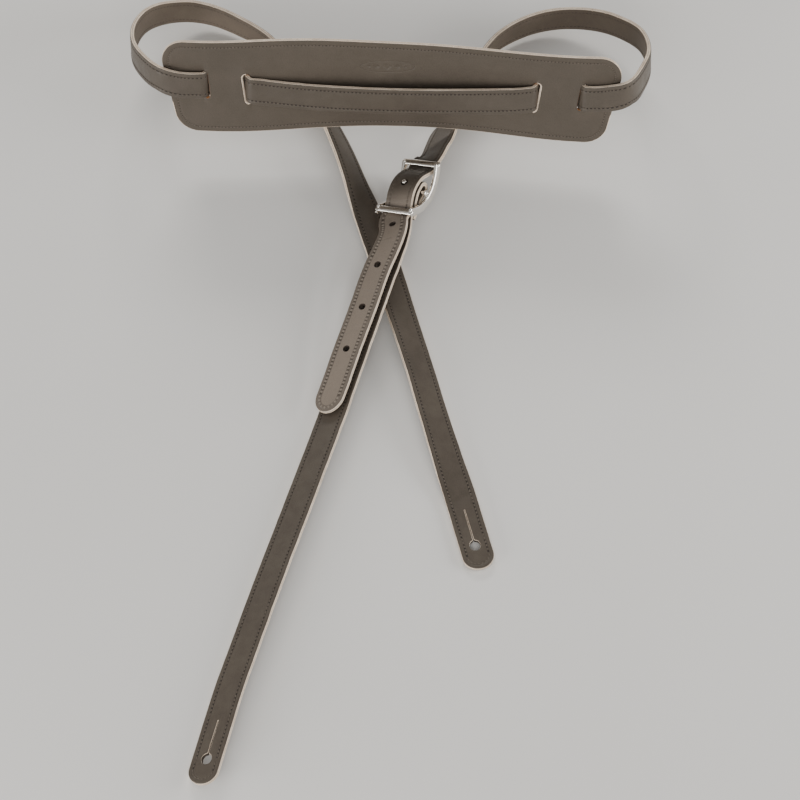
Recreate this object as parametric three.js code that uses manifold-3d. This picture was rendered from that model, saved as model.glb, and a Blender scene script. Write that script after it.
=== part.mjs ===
// Narrow two-ply leather guitar strap with a sliding shoulder pad, laid out on a table:
// the strap stands on edge in a loop at each end of the pad, which leans back over them,
// and the two tails lie in front, crossed, with the adjusting buckle in the left one.
// Millimetres, +Z up, table at Z = 0, front towards -Y, right towards +X. The points below are
// laid out from under the middle of the pad; LAYOUT_SHIFT then puts the origin on the table at
// the middle of the whole outline.
import * as THREE from 'three';
import { mergeVertices } from 'three/addons/utils/BufferGeometryUtils.js';
import Module from 'manifold-3d';

const wasm = await Module();
wasm.setup();

// ---------------------------------------------------------------- driving dimensions
const LAYOUT_SHIFT = [1.9040, 185.3680, 0.2118];

// Strap section
const STRAP_W = 19.0;            // strap width, 3/4 inch
const STRAP_T = 2.8;             // both plies together
const PLY_GAP = 0.2;             // glue line between the grain ply and the lining ply
const HALF_W = STRAP_W / 2;
const HALF_T = STRAP_T / 2;
const HALF_GAP = PLY_GAP / 2;

// Stitching
const THREAD_W = 0.8;            // sewing thread, as a low ridge
const THREAD_H = 0.3;
const THREAD_LIFT = 0.2;         // clearance of the ridge over the grain
const THREAD_INSET = 3.0;        // stitch row from the strap's cut edge
const THREAD_SHORT = 0.6;        // stitch row stops this far before a square end
const THREAD_BEND_CUT = 1.5;     // stitch bend is this much shorter than the rounded end
const THREAD_OVERLAP = 0.5;      // stitch bend runs this far into the straight rows

// Holes and ends
const FLEX_GAP = 2.4;            // open slot between two stiff lengths at a bending line
const HALF_FLEX = FLEX_GAP / 2;
const HOLE_R = 2.2;              // adjusting holes
const BUTTON_HOLE_R = 3.3;       // strap-button hole in each tail
const BUTTON_FROM_END = 15.5;
const SLIT_W = 0.8;
const SLIT_L = 24.0;             // slit from the button hole up the tail
const CUT_DEPTH = 9;             // length of the cutting solids, through the strap
const END_ROUND = 8.6;           // length of the rounded end
const TIP_ROUND = 11.5;

// Stations along the long strap, from the right tail's end.
const RIGHT_TAB_LINE = 46.8;     // bending lines
const RIGHT_TAIL_LINE = 164.0;
const LEFT_DROP_BEFORE_STUD = 32.5;
const TIP_AFTER_STUD = 25.6;
const HOLES_AFTER_STUD = [32.1, 63.6, 94.2, 124.0]; // free holes
// Bending lines of the short strap, measured from its button end.
const LEFT_TAIL_FROM_END = 230.8;
const LEFT_TAB_FROM_END = 49.0;

// ---------------------------------------------------------------- centre lines
// Points of the strap's centre line: x, y, z and roll (degrees between its width and the table).
const RIGHT_TAIL = [
  [51.6, -318.1, 1.4, 0], [48.3, -303.4, 1.4, 0], [44.5, -287.5, 1.4, 0], [40.9, -272.2, 1.4, 0],
  [35.1, -252.7, 2.9, 9], [29.5, -232.9, 4.1, 17], [23.9, -212.6, 4.7, 21],
  [18.5, -191.8, 5.0, 23], [12.7, -170.6, 5.0, 23], [6.6, -149.0, 4.7, 21],
  [-0.6, -122.9, 3.7, 14], [-7.9, -96.8, 3.0, 10], [-15.9, -71.6, 3.8, 15],
  [-23.3, -50.3, 6.7, 36], [-30.8, -28.0, 7.7, 45], [-37.4, -11.3, 8.2, 50],
];
const LEFT_LOOP = [
  [-86.0, 62.1, 11.2, 88], [-98.7, 70.2, 11.3, 92], [-110.7, 76.7, 11.7, 94],
  [-125.2, 81.1, 13.0, 95], [-136.8, 80.2, 16.0, 95], [-147.5, 76.0, 20.0, 94],
  [-158.4, 67.0, 26.0, 92], [-164.9, 52.9, 33.0, 90], [-166.8, 37.3, 40.0, 88],
  [-163.7, 20.8, 47.5, 84], [-156.6, 7.1, 53.5, 80], [-147.6, -3.2, 57.4, 76],
];
const RIGHT_LOOP = [
  [147.8, -15.0, 57.4, 76], [156.4, -1.9, 53.0, 80], [162.2, 15.3, 46.5, 84],
  [162.6, 31.7, 39.0, 88], [158.7, 46.4, 32.0, 90], [150.0, 58.5, 25.5, 92],
  [137.1, 69.1, 19.5, 94], [122.5, 74.6, 15.5, 95], [108.2, 76.2, 13.0, 95],
  [93.8, 73.9, 11.7, 94], [79.9, 67.7, 11.3, 92], [67.9, 58.8, 11.2, 88],
  [56.2, 44.6, 11.0, 80], [44.8, 22.8, 10.4, 68], [36.6, -1.5, 9.0, 56],
];
const LEFT_DROP = [[33.1, -11.0, 9.3, 36], [28.2, -24.0, 10.9, 34.2], [22.3, -36.6, 14.0, 30.5]];
const TIP = [
  [0.3, -87.8, 17.0, 24], [-8.9, -116.9, 17.6, 24], [-18.1, -145.2, 15.2, 24],
  [-27.8, -173.9, 12.0, 25], [-35.5, -198.6, 9.7, 25], [-41.7, -216.4, 8.5, 25],
];
const SHORT = [
  [0.6, -86.2, 12.2, 24], [-4.3, -106.7, 13.2, 24], [-10.5, -130.4, 12.3, 24],
  [-17.8, -155.7, 10.0, 25], [-26.2, -182.7, 7.5, 25], [-36.0, -214.4, 5.6, 25],
  [-48.7, -254.0, 5.3, 25], [-61.7, -294.1, 5.3, 25], [-74.4, -333.2, 5.3, 25],
  [-86.2, -371.4, 5.1, 24], [-92.4, -391.4, 5.1, 24], [-97.7, -411.2, 5.0, 23],
  [-100.8, -424.0, 5.0, 23], [-104.6, -440.4, 5.0, 23], [-107.8, -454.2, 5.0, 23],
];
// Points in the buckle's own frame: along the strap, and out of it. The stud stands at 0 along.
const THROUGH_BUCKLE = [
  [-22.8, -3.3], [-18.2, -3.4], [-14.0, -1.4], [-7.8, 2.3], [0, 4.0],
  [7.6, 2.3], [13.2, -1.2], [17.2, -3.3], [21.8, -3.4],
];
const SHORT_START = [[3, -0.9], [7.5, -2.9], [12.5, -5.4], [19, -6.9]];
const TURN_BACK_UNDER_BAR = [1.6, -6.8];
// The short strap's turned-back end: station along the length above it, and how far below it lies.
const TURN_BACK = [[15.0, 3.1], [11.0, 3.3], [6.5, 4.1]];

// ---------------------------------------------------------------- materials
const leather = (color, roughness) =>
  new THREE.MeshStandardMaterial({ color, roughness, metalness: 0 });
const grain = () => leather(0x5f564c, 0.55);
const padGrain = () => leather(0x5c534a, 0.6);
const lining = () => leather(0x6b5d4f, 0.75);
const thread = () => leather(0x4a4038, 0.85);
const nickel = () =>
  new THREE.MeshStandardMaterial({ color: 0xcfc8bf, roughness: 0.22, metalness: 1 });

// ---------------------------------------------------------------- curves
// Natural cubic spline through rows of numbers, one row per knot.
// Gives a function of the parameter that returns [values, slopes].
function naturalSpline(knots, rows) {
  const count = rows.length;
  const columns = rows[0].length;
  const gaps = knots.slice(1).map((knot, i) => knot - knots[i]);
  const second = rows.map(() => new Array(columns).fill(0));
  for (let k = 0; k < columns; k++) {
    const diagonal = new Array(count).fill(1);
    const upper = new Array(count).fill(0);
    const right = new Array(count).fill(0);
    const rise = (i) => (rows[i + 1][k] - rows[i][k]) / gaps[i];
    for (let i = 1; i < count - 1; i++) {
      const factor = gaps[i - 1] / diagonal[i - 1];
      upper[i] = gaps[i];
      diagonal[i] = 2 * (gaps[i - 1] + gaps[i]) - factor * upper[i - 1];
      right[i] = 6 * (rise(i) - rise(i - 1)) - factor * right[i - 1];
    }
    for (let i = count - 2; i > 0; i--) {
      second[i][k] = (right[i] - upper[i] * second[i + 1][k]) / diagonal[i];
    }
  }
  return (x) => {
    let i = knots.findIndex((knot) => knot > x) - 1;
    if (i < 0) i = x <= knots[0] ? 0 : count - 2;
    const gap = gaps[i];
    const after = knots[i + 1] - x;
    const before = x - knots[i];
    const values = [];
    const slopes = [];
    for (let k = 0; k < columns; k++) {
      const bendA = second[i][k];
      const bendB = second[i + 1][k];
      const slopeA = rows[i][k] / gap - (bendA * gap) / 6;
      const slopeB = rows[i + 1][k] / gap - (bendB * gap) / 6;
      const cubic = (bendA * after ** 3 + bendB * before ** 3) / (6 * gap);
      const quadratic = (bendB * before * before - bendA * after * after) / (2 * gap);
      values.push(cubic + slopeA * after + slopeB * before);
      slopes.push(quadratic - slopeA + slopeB);
    }
    return [values, slopes];
  };
}

// Spline through [x, y] pairs, as a plain function of x.
function curveThrough(pairs) {
  const spline = naturalSpline(pairs.map(([x]) => x), pairs.map(([, y]) => [y]));
  return (x) => spline(x)[0][0];
}

// Polyline of [x, y, radius] rows with its inner corners replaced by arcs of those radii.
function filleted(rows, angleStep) {
  const point = ([x, y]) => new THREE.Vector2(x, y);
  const out = [rows[0]];
  for (let i = 1; i < rows.length - 1; i++) {
    const radius = rows[i][2];
    const corner = point(rows[i]);
    const back = point(rows[i - 1]).sub(corner).normalize();
    const ahead = point(rows[i + 1]).sub(corner).normalize();
    const angle = Math.acos(THREE.MathUtils.clamp(back.dot(ahead), -1, 1));
    const reach = radius / Math.tan(angle / 2);
    const centre = back.clone().add(ahead).normalize()
      .multiplyScalar(radius / Math.sin(angle / 2)).add(corner);
    const start = back.multiplyScalar(reach).add(corner).sub(centre);
    const end = ahead.multiplyScalar(reach).add(corner).sub(centre);
    const first = Math.atan2(start.y, start.x);
    let sweep = Math.atan2(end.y, end.x) - first;
    while (sweep > Math.PI) sweep -= 2 * Math.PI;
    while (sweep < -Math.PI) sweep += 2 * Math.PI;
    const steps = Math.max(2, Math.floor(Math.abs(sweep) / angleStep) + 1);
    for (let k = 0; k <= steps; k++) {
      const a = first + (sweep * k) / steps;
      out.push([centre.x + radius * Math.cos(a), centre.y + radius * Math.sin(a)]);
    }
  }
  out.push(rows[rows.length - 1]);
  return out;
}

// ---------------------------------------------------------------- frames and strap paths
// A frame is a point with three directions: along, across and normal = along x across.
const UP = new THREE.Vector3(0, 0, 1);
const vector = (numbers) => new THREE.Vector3(...numbers);
const radians = THREE.MathUtils.degToRad;

function frameMatrix({ point, along, across, normal }) {
  return new THREE.Matrix4().makeBasis(along, across, normal).setPosition(point);
}

// Direction of the strap's width when it is rolled by some degrees from the table.
function acrossFromRoll(along, roll) {
  const side = new THREE.Vector3().crossVectors(UP, along).normalize();
  const rise = new THREE.Vector3().crossVectors(along, side);
  const angle = radians(roll);
  return side.multiplyScalar(Math.cos(angle)).addScaledVector(rise, Math.sin(angle));
}

const squaredTo = (along, across) =>
  across.addScaledVector(along, -across.dot(along)).normalize();

// Where a strap gets a cross-section: after enough turn or twist (radians), or enough length.
const SECTION_STEP = 0.25;
const SECTION_MAX_TURN = 0.22;
const SECTION_MAX_TWIST = 0.045;
const SECTION_MAX_GAP = 16;
const SECTION_END_CLEAR = 0.6;   // none closer than this to a piece's end

// Strap path through controls, each a point with either its across direction or its roll.
// Its first length can lie flat and straight on the table, and its last length straight.
function strapPath(controls, { flatUntil = -1, straightFrom = Infinity } = {}) {
  const points = controls.map((control) => control.point);
  const knots = [0];
  for (let i = 1; i < points.length; i++) {
    knots.push(knots[i - 1] + points[i].distanceTo(points[i - 1]));
  }
  const line = naturalSpline(knots, points.map((point) => point.toArray()));
  const rows = controls.map(({ point, across, roll }, i) => {
    const along = vector(line(knots[i])[1]).normalize();
    const width = across ? across.clone() : acrossFromRoll(along, roll);
    return [...point.toArray(), ...squaredTo(along, width).toArray()];
  });
  const spline = naturalSpline(knots, rows);
  const length = knots[knots.length - 1];

  const curvedAt = (s) => {
    const [values, slopes] = spline(s);
    const along = vector(slopes.slice(0, 3)).normalize();
    const across = squaredTo(along, vector(values.slice(3)));
    const normal = new THREE.Vector3().crossVectors(along, across);
    return { point: vector(values.slice(0, 3)), along, across, normal };
  };
  const flatAt = (s) => {
    const { point, along } = curvedAt(flatUntil);
    along.setZ(0).normalize();
    point.setZ(HALF_T).addScaledVector(along, s - flatUntil);
    const across = new THREE.Vector3().crossVectors(UP, along);
    return { point, along, across, normal: UP.clone() };
  };
  const at = (s) => {
    if (s < flatUntil) return flatAt(s);
    const beyond = Math.max(0, s - straightFrom);
    const frame = curvedAt(s - beyond);
    frame.point.addScaledVector(frame.along, beyond);
    return frame;
  };

  const stations = [0];
  let turned = 0;
  let twisted = 0;
  let previous = 0;
  let before = at(0);
  for (let s = SECTION_STEP; s < length; s += SECTION_STEP) {
    const frame = at(s);
    turned += frame.along.angleTo(before.along);
    twisted += Math.abs(frame.across.clone().sub(before.across).dot(frame.normal));
    before = frame;
    const bent = turned > SECTION_MAX_TURN || twisted > SECTION_MAX_TWIST;
    if (bent || s - previous > SECTION_MAX_GAP) {
      stations.push(s);
      previous = s;
      turned = 0;
      twisted = 0;
    }
  }
  stations.push(length);
  return { at, length, stations, knots };
}

const rolled = (rows) => rows.map(([x, y, z, roll]) => ({ point: vector([x, y, z]), roll }));

// ---------------------------------------------------------------- solids
function toSolid(geometry) {
  geometry.deleteAttribute('normal');
  geometry.deleteAttribute('uv');
  const merged = mergeVertices(geometry, 1e-5);
  return new wasm.Manifold(new wasm.Mesh({
    numProp: 3,
    vertProperties: new Float32Array(merged.attributes.position.array),
    triVerts: new Uint32Array(merged.index.array),
  }));
}

function toGeometry(solid) {
  const mesh = solid.getMesh();
  const geometry = new THREE.BufferGeometry();
  const positions = new Float32Array(mesh.vertProperties);
  geometry.setAttribute('position', new THREE.BufferAttribute(positions, 3));
  geometry.setIndex(new THREE.BufferAttribute(new Uint32Array(mesh.triVerts), 1));
  geometry.computeVertexNormals();
  return geometry;
}

function addMesh(group, name, solid, material) {
  const mesh = new THREE.Mesh(toGeometry(solid), material);
  mesh.name = name;
  group.add(mesh);
}

const union = (solids) => solids.reduce((sum, solid) => sum.add(solid));

// Shape extruded to a depth, half of it on each side of its plane.
function prism(shape, depth) {
  const geometry = new THREE.ExtrudeGeometry(shape, { depth, bevelEnabled: false });
  return geometry.translate(0, 0, -depth / 2);
}

// Sections: range across the strap and range along its normal. The mirrored one has its facets'
// diagonals the other way, so that two plies face each other with matching facets.
const GRAIN_SECTION = { across: [-HALF_W, HALF_W], normal: [HALF_GAP, HALF_T] };
const LINING_SECTION = {
  across: [-HALF_W, HALF_W], normal: [-HALF_T, -HALF_GAP], mirrored: true,
};
function threadSection(middle, surface) {
  const foot = surface + THREAD_LIFT;
  return {
    across: [middle - THREAD_W / 2, middle + THREAD_W / 2],
    normal: [foot, foot + THREAD_H],
  };
}

// A box with the given section, bent through a row of frames.
function sweptBox(frames, { across, normal, mirrored = false }) {
  const spans = frames.length - 1;
  const geometry = new THREE.BoxGeometry(1, 1, 1, spans, 1, 1);
  const position = geometry.attributes.position;
  for (let i = 0; i < position.count; i++) {
    const frame = frames[Math.round((position.getX(i) + 0.5) * spans)];
    const y = mirrored ? 0.5 - position.getY(i) : position.getY(i) + 0.5;
    const z = position.getZ(i) + 0.5;
    const vertex = frame.point.clone()
      .addScaledVector(frame.across, across[0] + y * (across[1] - across[0]))
      .addScaledVector(frame.normal, normal[0] + z * (normal[1] - normal[0]));
    position.setXYZ(i, vertex.x, vertex.y, vertex.z);
  }
  if (mirrored) {
    // Mirroring turned the facets inside out, so their winding is reversed.
    const index = geometry.index.array;
    for (let i = 0; i < index.length; i += 3) {
      [index[i + 1], index[i + 2]] = [index[i + 2], index[i + 1]];
    }
  }
  return toSolid(geometry);
}

function sweptAlong(path, from, to, section) {
  const inside = path.stations.filter(
    (s) => s > from + SECTION_END_CLEAR && s < to - SECTION_END_CLEAR);
  return sweptBox([from, ...inside, to].map(path.at), section);
}

// One straight stitch row: side = 1 or -1, across the strap.
function threadRow(path, from, to, side) {
  return sweptAlong(path, from, to, threadSection(side * (HALF_W - THREAD_INSET), HALF_T));
}

// A stitch row that runs down one side, round the end and back up the other, as one U of thread.
function threadU(path, open, end, round) {
  const toward = Math.sign(end - open);
  const edge = HALF_W - THREAD_INSET;
  const stop = end - toward * THREAD_INSET;
  const start = stop - toward * (round - THREAD_BEND_CUT);
  const bend = [[start - toward * THREAD_OVERLAP, edge]]; // station, place across
  for (let k = 0; k <= 12; k++) {
    const a = Math.PI / 2 - (Math.PI * k) / 12;
    bend.push([start + toward * Math.abs(stop - start) * Math.cos(a), edge * Math.sin(a)]);
  }
  bend.push([start - toward * THREAD_OVERLAP, -edge]);
  const frames = bend.map(([s, w], i) => {
    const [sBefore, wBefore] = bend[Math.max(0, i - 1)];
    const [sAfter, wAfter] = bend[Math.min(bend.length - 1, i + 1)];
    const { point, along, across, normal } = path.at(s);
    const heading = along.clone().multiplyScalar(sAfter - sBefore)
      .addScaledVector(across, wAfter - wBefore).normalize();
    return {
      point: point.addScaledVector(across, w),
      across: new THREE.Vector3().crossVectors(normal, heading),
      normal,
    };
  });
  const [from, to] = toward > 0 ? [open, start] : [start, open];
  return union([
    threadRow(path, from, to, 1),
    threadRow(path, from, to, -1),
    sweptBox(frames, threadSection(0, HALF_T)),
  ]);
}

// Everything but the corners beyond a rounded end. toward = 1 if the path runs out of that end.
function roundedEnd(path, s, toward, length) {
  const reach = 260;
  const side = 60;
  const outline = [[-reach, -side], [-length, -side]];
  for (let k = 0; k <= 14; k++) {
    const a = -Math.PI / 2 + (Math.PI * k) / 14;
    outline.push([-length + length * Math.cos(a), (HALF_W + 0.05) * Math.sin(a)]);
  }
  outline.push([-length, side], [-reach, side]);
  const shape = new THREE.Shape(outline.map(([x, y]) => new THREE.Vector2(x, y)));
  const geometry = prism(shape, 80);
  if (toward < 0) geometry.rotateZ(Math.PI);
  return toSolid(geometry.applyMatrix4(frameMatrix(path.at(s))));
}

function bore(path, s, radius) {
  const geometry = new THREE.CylinderGeometry(radius, radius, CUT_DEPTH, 16);
  geometry.rotateX(Math.PI / 2);
  return toSolid(geometry.applyMatrix4(frameMatrix(path.at(s))));
}

// Button hole with its slit running up the tail: away = direction from the end into the strap.
function buttonHole(path, s, away) {
  const slit = new THREE.BoxGeometry(SLIT_L, SLIT_W, CUT_DEPTH);
  slit.translate((away * SLIT_L) / 2, 0, 0);
  slit.applyMatrix4(frameMatrix(path.at(s)));
  return bore(path, s, BUTTON_HOLE_R).add(toSolid(slit));
}

// ---------------------------------------------------------------- pad dimensions and frame
const PAD_HALF_TOP = 146.5;      // half length along the upper edge
const PAD_HALF_BOTTOM = 135.0;   // half length along the lower edge
const PAD_H = 64.0;              // nominal height
const PAD_T = 3.0;               // front leather and back lining together
const PAD_CORNER_TOP = 14.0;
const PAD_CORNER_BOTTOM = 15.0;
const PAD_THREAD_INSET = 3.8;
const PAD_RECLINE = 72;          // degrees from the table
const PAD_YAW = -2.2;            // degrees
const PAD_ORIGIN = [-1.3, -15.5, 18.5];
const SLOT_W = 9.4;              // width of the four strap slots
const PAD_CUT_DEPTH = 40;        // depth of the outline and slot prisms
const PAD_OUTLINE_STEP = 12;     // nominal spacing of outline points on the straight edges

// Pad curves. Columns: place along the pad, then height up it or distance out of its front.
const BAND_HEIGHT = [            // middle of the strap where it crosses the pad
  [-146, 37], [-115, 34.5], [-92, 31.6], [-50, 27.6], [0, 26.3],
  [50, 27.6], [94.5, 30.4], [120, 32.8], [146, 36.5],
];
const PAD_BOW = [                // distance out of the front
  [-148, 3.2], [-105, 3.0], [-66, 0.2], [-30, -2.8], [0, -4.2],
  [30, -4.4], [55, -3.2], [105, 1.4], [148, 3.2],
];
const PAD_TOP = [                // upper edge
  [-148, 66.8], [-113, 65.9], [-82, 67.0], [-50, 67.3], [-13, 65.2],
  [24, 63.6], [50, 62.8], [92, 62.2], [117, 62.3], [148, 63.4],
];
const PAD_BOTTOM = [             // lower edge
  [-148, -1.6], [-100, -2.9], [-50, -1.0], [0, 0.3], [50, -0.8], [100, -2.8], [148, -2.4],
];
// Centres of each slot's lower and upper rounded ends: along the pad, up it.
const SLOTS = {
  leftOuter: [[-115.4, 23.4], [-117.0, 43.2]],
  leftInner: [[-90.0, 21.0], [-92.0, 41.2]],
  rightInner: [[89.9, 19.8], [92.0, 40.2]],
  rightOuter: [[118.2, 22.4], [120.6, 42.4]],
};

const bow = curveThrough(PAD_BOW);
const bandHeight = curveThrough(BAND_HEIGHT);
const padTop = curveThrough(PAD_TOP);
const padBottom = curveThrough(PAD_BOTTOM);

// Pad frame: x along the pad to the right, y up it, z out of its front.
function makePadFrame() {
  const yaw = radians(PAD_YAW);
  const recline = radians(PAD_RECLINE);
  const along = new THREE.Vector3(Math.cos(yaw), Math.sin(yaw), 0);
  const across = new THREE.Vector3(-Math.sin(yaw), Math.cos(yaw), 0)
    .multiplyScalar(Math.cos(recline)).addScaledVector(UP, Math.sin(recline));
  const normal = new THREE.Vector3().crossVectors(along, across);
  return { point: vector(PAD_ORIGIN), along, across, normal };
}
const padFrame = makePadFrame();
const padMatrix = frameMatrix(padFrame);

// ---------------------------------------------------------------- buckle dimensions and frame
const BUCKLE_SPAN = 39.4;        // between the centres of the two end bars
const BUCKLE_MID = -0.7;         // middle of the frame, along the strap from the stud
const BUCKLE_HALF_W = 13.4;
const SIDE_T = 2.3;              // side plate thickness
const BAR_W = 4.4;               // end bar, along the strap
const BAR_T = 2.2;
const ARC_DEPTH = 9.0;           // how far the side plates bow back
const ARC_BAND = 4.4;            // height of the side plate section
const CENTRE_BAR_R = 1.4;
const CENTRE_BAR_OUT = -3.6;     // centre bar along the buckle's normal
const LUG_HALF = 2.6;            // half length of the lugs that carry the centre bar
const LUG_TAPER = 0.6;           // how much narrower each side is at the centre bar
const LUG_TOP_HALF = 1.3;
const LUG_TOP_RISE = 1.5;        // lug top over the middle of the centre bar
const LUG_CLEAR = 0.5;           // no plate points closer than this to a lug
const STUD_R = 1.2;
const STUD_TOP = 6.6;
const BAR_TO_STUD = 0.2;         // clearance between the centre bar and the stud's foot
const BUCKLE_ORIGIN = [9.1, -58.9, 16.9];
const BUCKLE_HEADING = [-0.4335, -0.9011, 0];
const BUCKLE_ROLL = 24;          // degrees

// Buckle frame: x along the strap towards its tip, y across it, z out of its grain side.
function makeBuckleFrame() {
  const along = vector(BUCKLE_HEADING).normalize();
  const across = acrossFromRoll(along, BUCKLE_ROLL);
  const normal = new THREE.Vector3().crossVectors(along, across);
  return { point: vector(BUCKLE_ORIGIN), along, across, normal };
}
const buckleFrame = makeBuckleFrame();
const buckleMatrix = frameMatrix(buckleFrame);

// Path control from a point in the buckle's frame.
function inBuckle([along, out]) {
  const point = buckleFrame.point.clone()
    .addScaledVector(buckleFrame.along, along).addScaledVector(buckleFrame.normal, out);
  return { point, across: buckleFrame.across };
}

// ---------------------------------------------------------------- long strap path
const STRAP_OFF_PAD = 3.65;      // strap's middle from the pad's middle where it lies on it
const WEAVE_LEVEL = 33;          // height up the pad at which the slots are crossed
const WEAVE_HALF_RUN = 2.1;      // half length of each passage through a slot
const WEAVE_R = 3.6;             // bends at the slots
const BAND_END_R = 20;           // bends at the ends of the front band
const BAND_R = 60;               // bends within the front band
const BAND_END_IN = 14;          // front band's ends, in from the inner slots
const WEAVE_END_OUT = 20;        // weave's ends, out from the outer slots
const WEAVE_END_RISE = 1.1;

// The strap's line over the pad, left to right: in front, behind between each pair of slots,
// and in front across the middle. Rows: along the pad, out of its front, bend radius.
function weaveLine() {
  const slotAlong = ([[a0, b0], [a1, b1]]) => a0 + ((a1 - a0) * (WEAVE_LEVEL - b0)) / (b1 - b0);
  const leftOuter = slotAlong(SLOTS.leftOuter);
  const leftInner = slotAlong(SLOTS.leftInner);
  const rightInner = slotAlong(SLOTS.rightInner);
  const rightOuter = slotAlong(SLOTS.rightOuter);
  const through = (slot, offset) => [
    [slot - WEAVE_HALF_RUN, offset + bow(slot), WEAVE_R],
    [slot + WEAVE_HALF_RUN, -offset + bow(slot), WEAVE_R],
  ];
  const toBack = (slot) => through(slot, STRAP_OFF_PAD);
  const toFront = (slot) => through(slot, -STRAP_OFF_PAD);
  const endOut = (slot) => STRAP_OFF_PAD + bow(slot) + WEAVE_END_RISE;
  return filleted([
    [leftOuter - WEAVE_END_OUT, endOut(leftOuter), 0],
    ...toBack(leftOuter),
    ...toFront(leftInner),
    [leftInner + BAND_END_IN, STRAP_OFF_PAD + 2.0, BAND_END_R],
    [-45, STRAP_OFF_PAD + 2.0, BAND_R],
    [0, STRAP_OFF_PAD + 1.8, BAND_R],
    [50, STRAP_OFF_PAD + 1.6, BAND_R],
    [rightInner - BAND_END_IN, STRAP_OFF_PAD + 1.6, BAND_END_R],
    ...toBack(rightInner),
    ...toFront(rightOuter),
    [rightOuter + WEAVE_END_OUT, endOut(rightOuter), 0],
  ], 0.3);
}

const beforeBuckle = [
  ...rolled(RIGHT_TAIL),
  ...rolled(LEFT_LOOP),
  ...weaveLine().map(([along, out]) => ({
    point: vector([along, bandHeight(along), out]).applyMatrix4(padMatrix),
    across: padFrame.across,
  })),
  ...rolled(RIGHT_LOOP),
  ...rolled(LEFT_DROP),
];
const longPath = strapPath(
  [...beforeBuckle, ...THROUGH_BUCKLE.map(inBuckle), ...rolled(TIP)],
  { flatUntil: RIGHT_TAB_LINE });
const studIndex = beforeBuckle.length + THROUGH_BUCKLE.findIndex(([along]) => along === 0);
const STUD_STATION = longPath.knots[studIndex];
const LEFT_DROP_LINE = STUD_STATION - LEFT_DROP_BEFORE_STUD;
const TIP_LINE = STUD_STATION + TIP_AFTER_STUD;

// ---------------------------------------------------------------- short strap path
const FOLD_ALONG = -3.0;         // middle of the short strap's fold, along the buckle
const FOLD_R = CENTRE_BAR_R + 0.5 + HALF_T; // strap's middle, 0.5 clear of a bar's radius

const shortMain = [...SHORT_START.map(inBuckle), ...rolled(SHORT)];
const mainPath = strapPath(shortMain);

function turnedBackEnd() {
  const below = TURN_BACK.map(([s, drop]) => {
    const { point, across, normal } = mainPath.at(s);
    return { point: point.addScaledVector(normal, -drop), across };
  });
  return [...below, inBuckle(TURN_BACK_UNDER_BAR)];
}

function foldAroundBar() {
  const controls = [];
  for (let degrees = -78; degrees >= -278; degrees -= 25) {
    const a = radians(degrees);
    controls.push(inBuckle([
      FOLD_ALONG + FOLD_R * Math.cos(a),
      CENTRE_BAR_OUT + FOLD_R * Math.sin(a),
    ]));
  }
  return controls;
}

const shortControls = [...turnedBackEnd(), ...foldAroundBar(), ...shortMain];
const SHORT_END = strapPath(shortControls).length;
const LEFT_TAIL_LINE = SHORT_END - LEFT_TAIL_FROM_END;
const LEFT_TAB_LINE = SHORT_END - LEFT_TAB_FROM_END;
const shortPath = strapPath(shortControls, { straightFrom: LEFT_TAB_LINE });

// ---------------------------------------------------------------- stiff lengths of strap
const strap = new THREE.Group();

function addPlies(name, path, from, to, trim = (ply) => ply) {
  addMesh(strap, `${name}_grain`, trim(sweptAlong(path, from, to, GRAIN_SECTION)), grain());
  addMesh(strap, `${name}_lining`, trim(sweptAlong(path, from, to, LINING_SECTION)), lining());
}

// Two stitch rows; the first name is for the one on the path's positive across side.
function addThreadRows(name, path, from, to, [positive, negative]) {
  addMesh(strap, `${name}_thread_${positive}`, threadRow(path, from, to, 1), thread());
  addMesh(strap, `${name}_thread_${negative}`, threadRow(path, from, to, -1), thread());
}

// Square-ended length between two bending lines.
function addLength(name, path, fromLine, toLine, rowNames) {
  const from = fromLine + HALF_FLEX;
  const to = toLine - HALF_FLEX;
  addPlies(name, path, from, to);
  addThreadRows(name, path, from + THREAD_SHORT, to - THREAD_SHORT, rowNames);
}

// Length from a bending line to a rounded end of the strap, with a cut through it.
function addEndLength(name, path, line, end, round, cut) {
  const toward = Math.sign(end - line);
  const open = line + toward * HALF_FLEX;
  const keep = roundedEnd(path, end, toward, round);
  const [from, to] = toward > 0 ? [open, end] : [end, open];
  addPlies(name, path, from, to, (ply) => ply.intersect(keep).subtract(cut));
  addMesh(strap, `${name}_thread`, threadU(path, open + toward * THREAD_SHORT, end, round),
    thread());
}

// Rounded end tab with the button hole and slit.
function addTab(name, path, line, end) {
  const away = Math.sign(line - end);
  const cut = buttonHole(path, end + away * BUTTON_FROM_END, away);
  addEndLength(name, path, line, end, END_ROUND, cut);
}

// Length arched through the buckle, with the hole the stud stands in.
function addBuckledLength() {
  const hole = bore(longPath, STUD_STATION, HOLE_R);
  addPlies('buckled_length', longPath, LEFT_DROP_LINE + HALF_FLEX, TIP_LINE - HALF_FLEX,
    (ply) => ply.subtract(hole));
}

// Free tip with four more adjusting holes.
function addFreeTip() {
  const holes = HOLES_AFTER_STUD.map((d) => bore(longPath, STUD_STATION + d, HOLE_R));
  addEndLength('free_tip', longPath, TIP_LINE, longPath.length, TIP_ROUND, union(holes));
}

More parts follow.
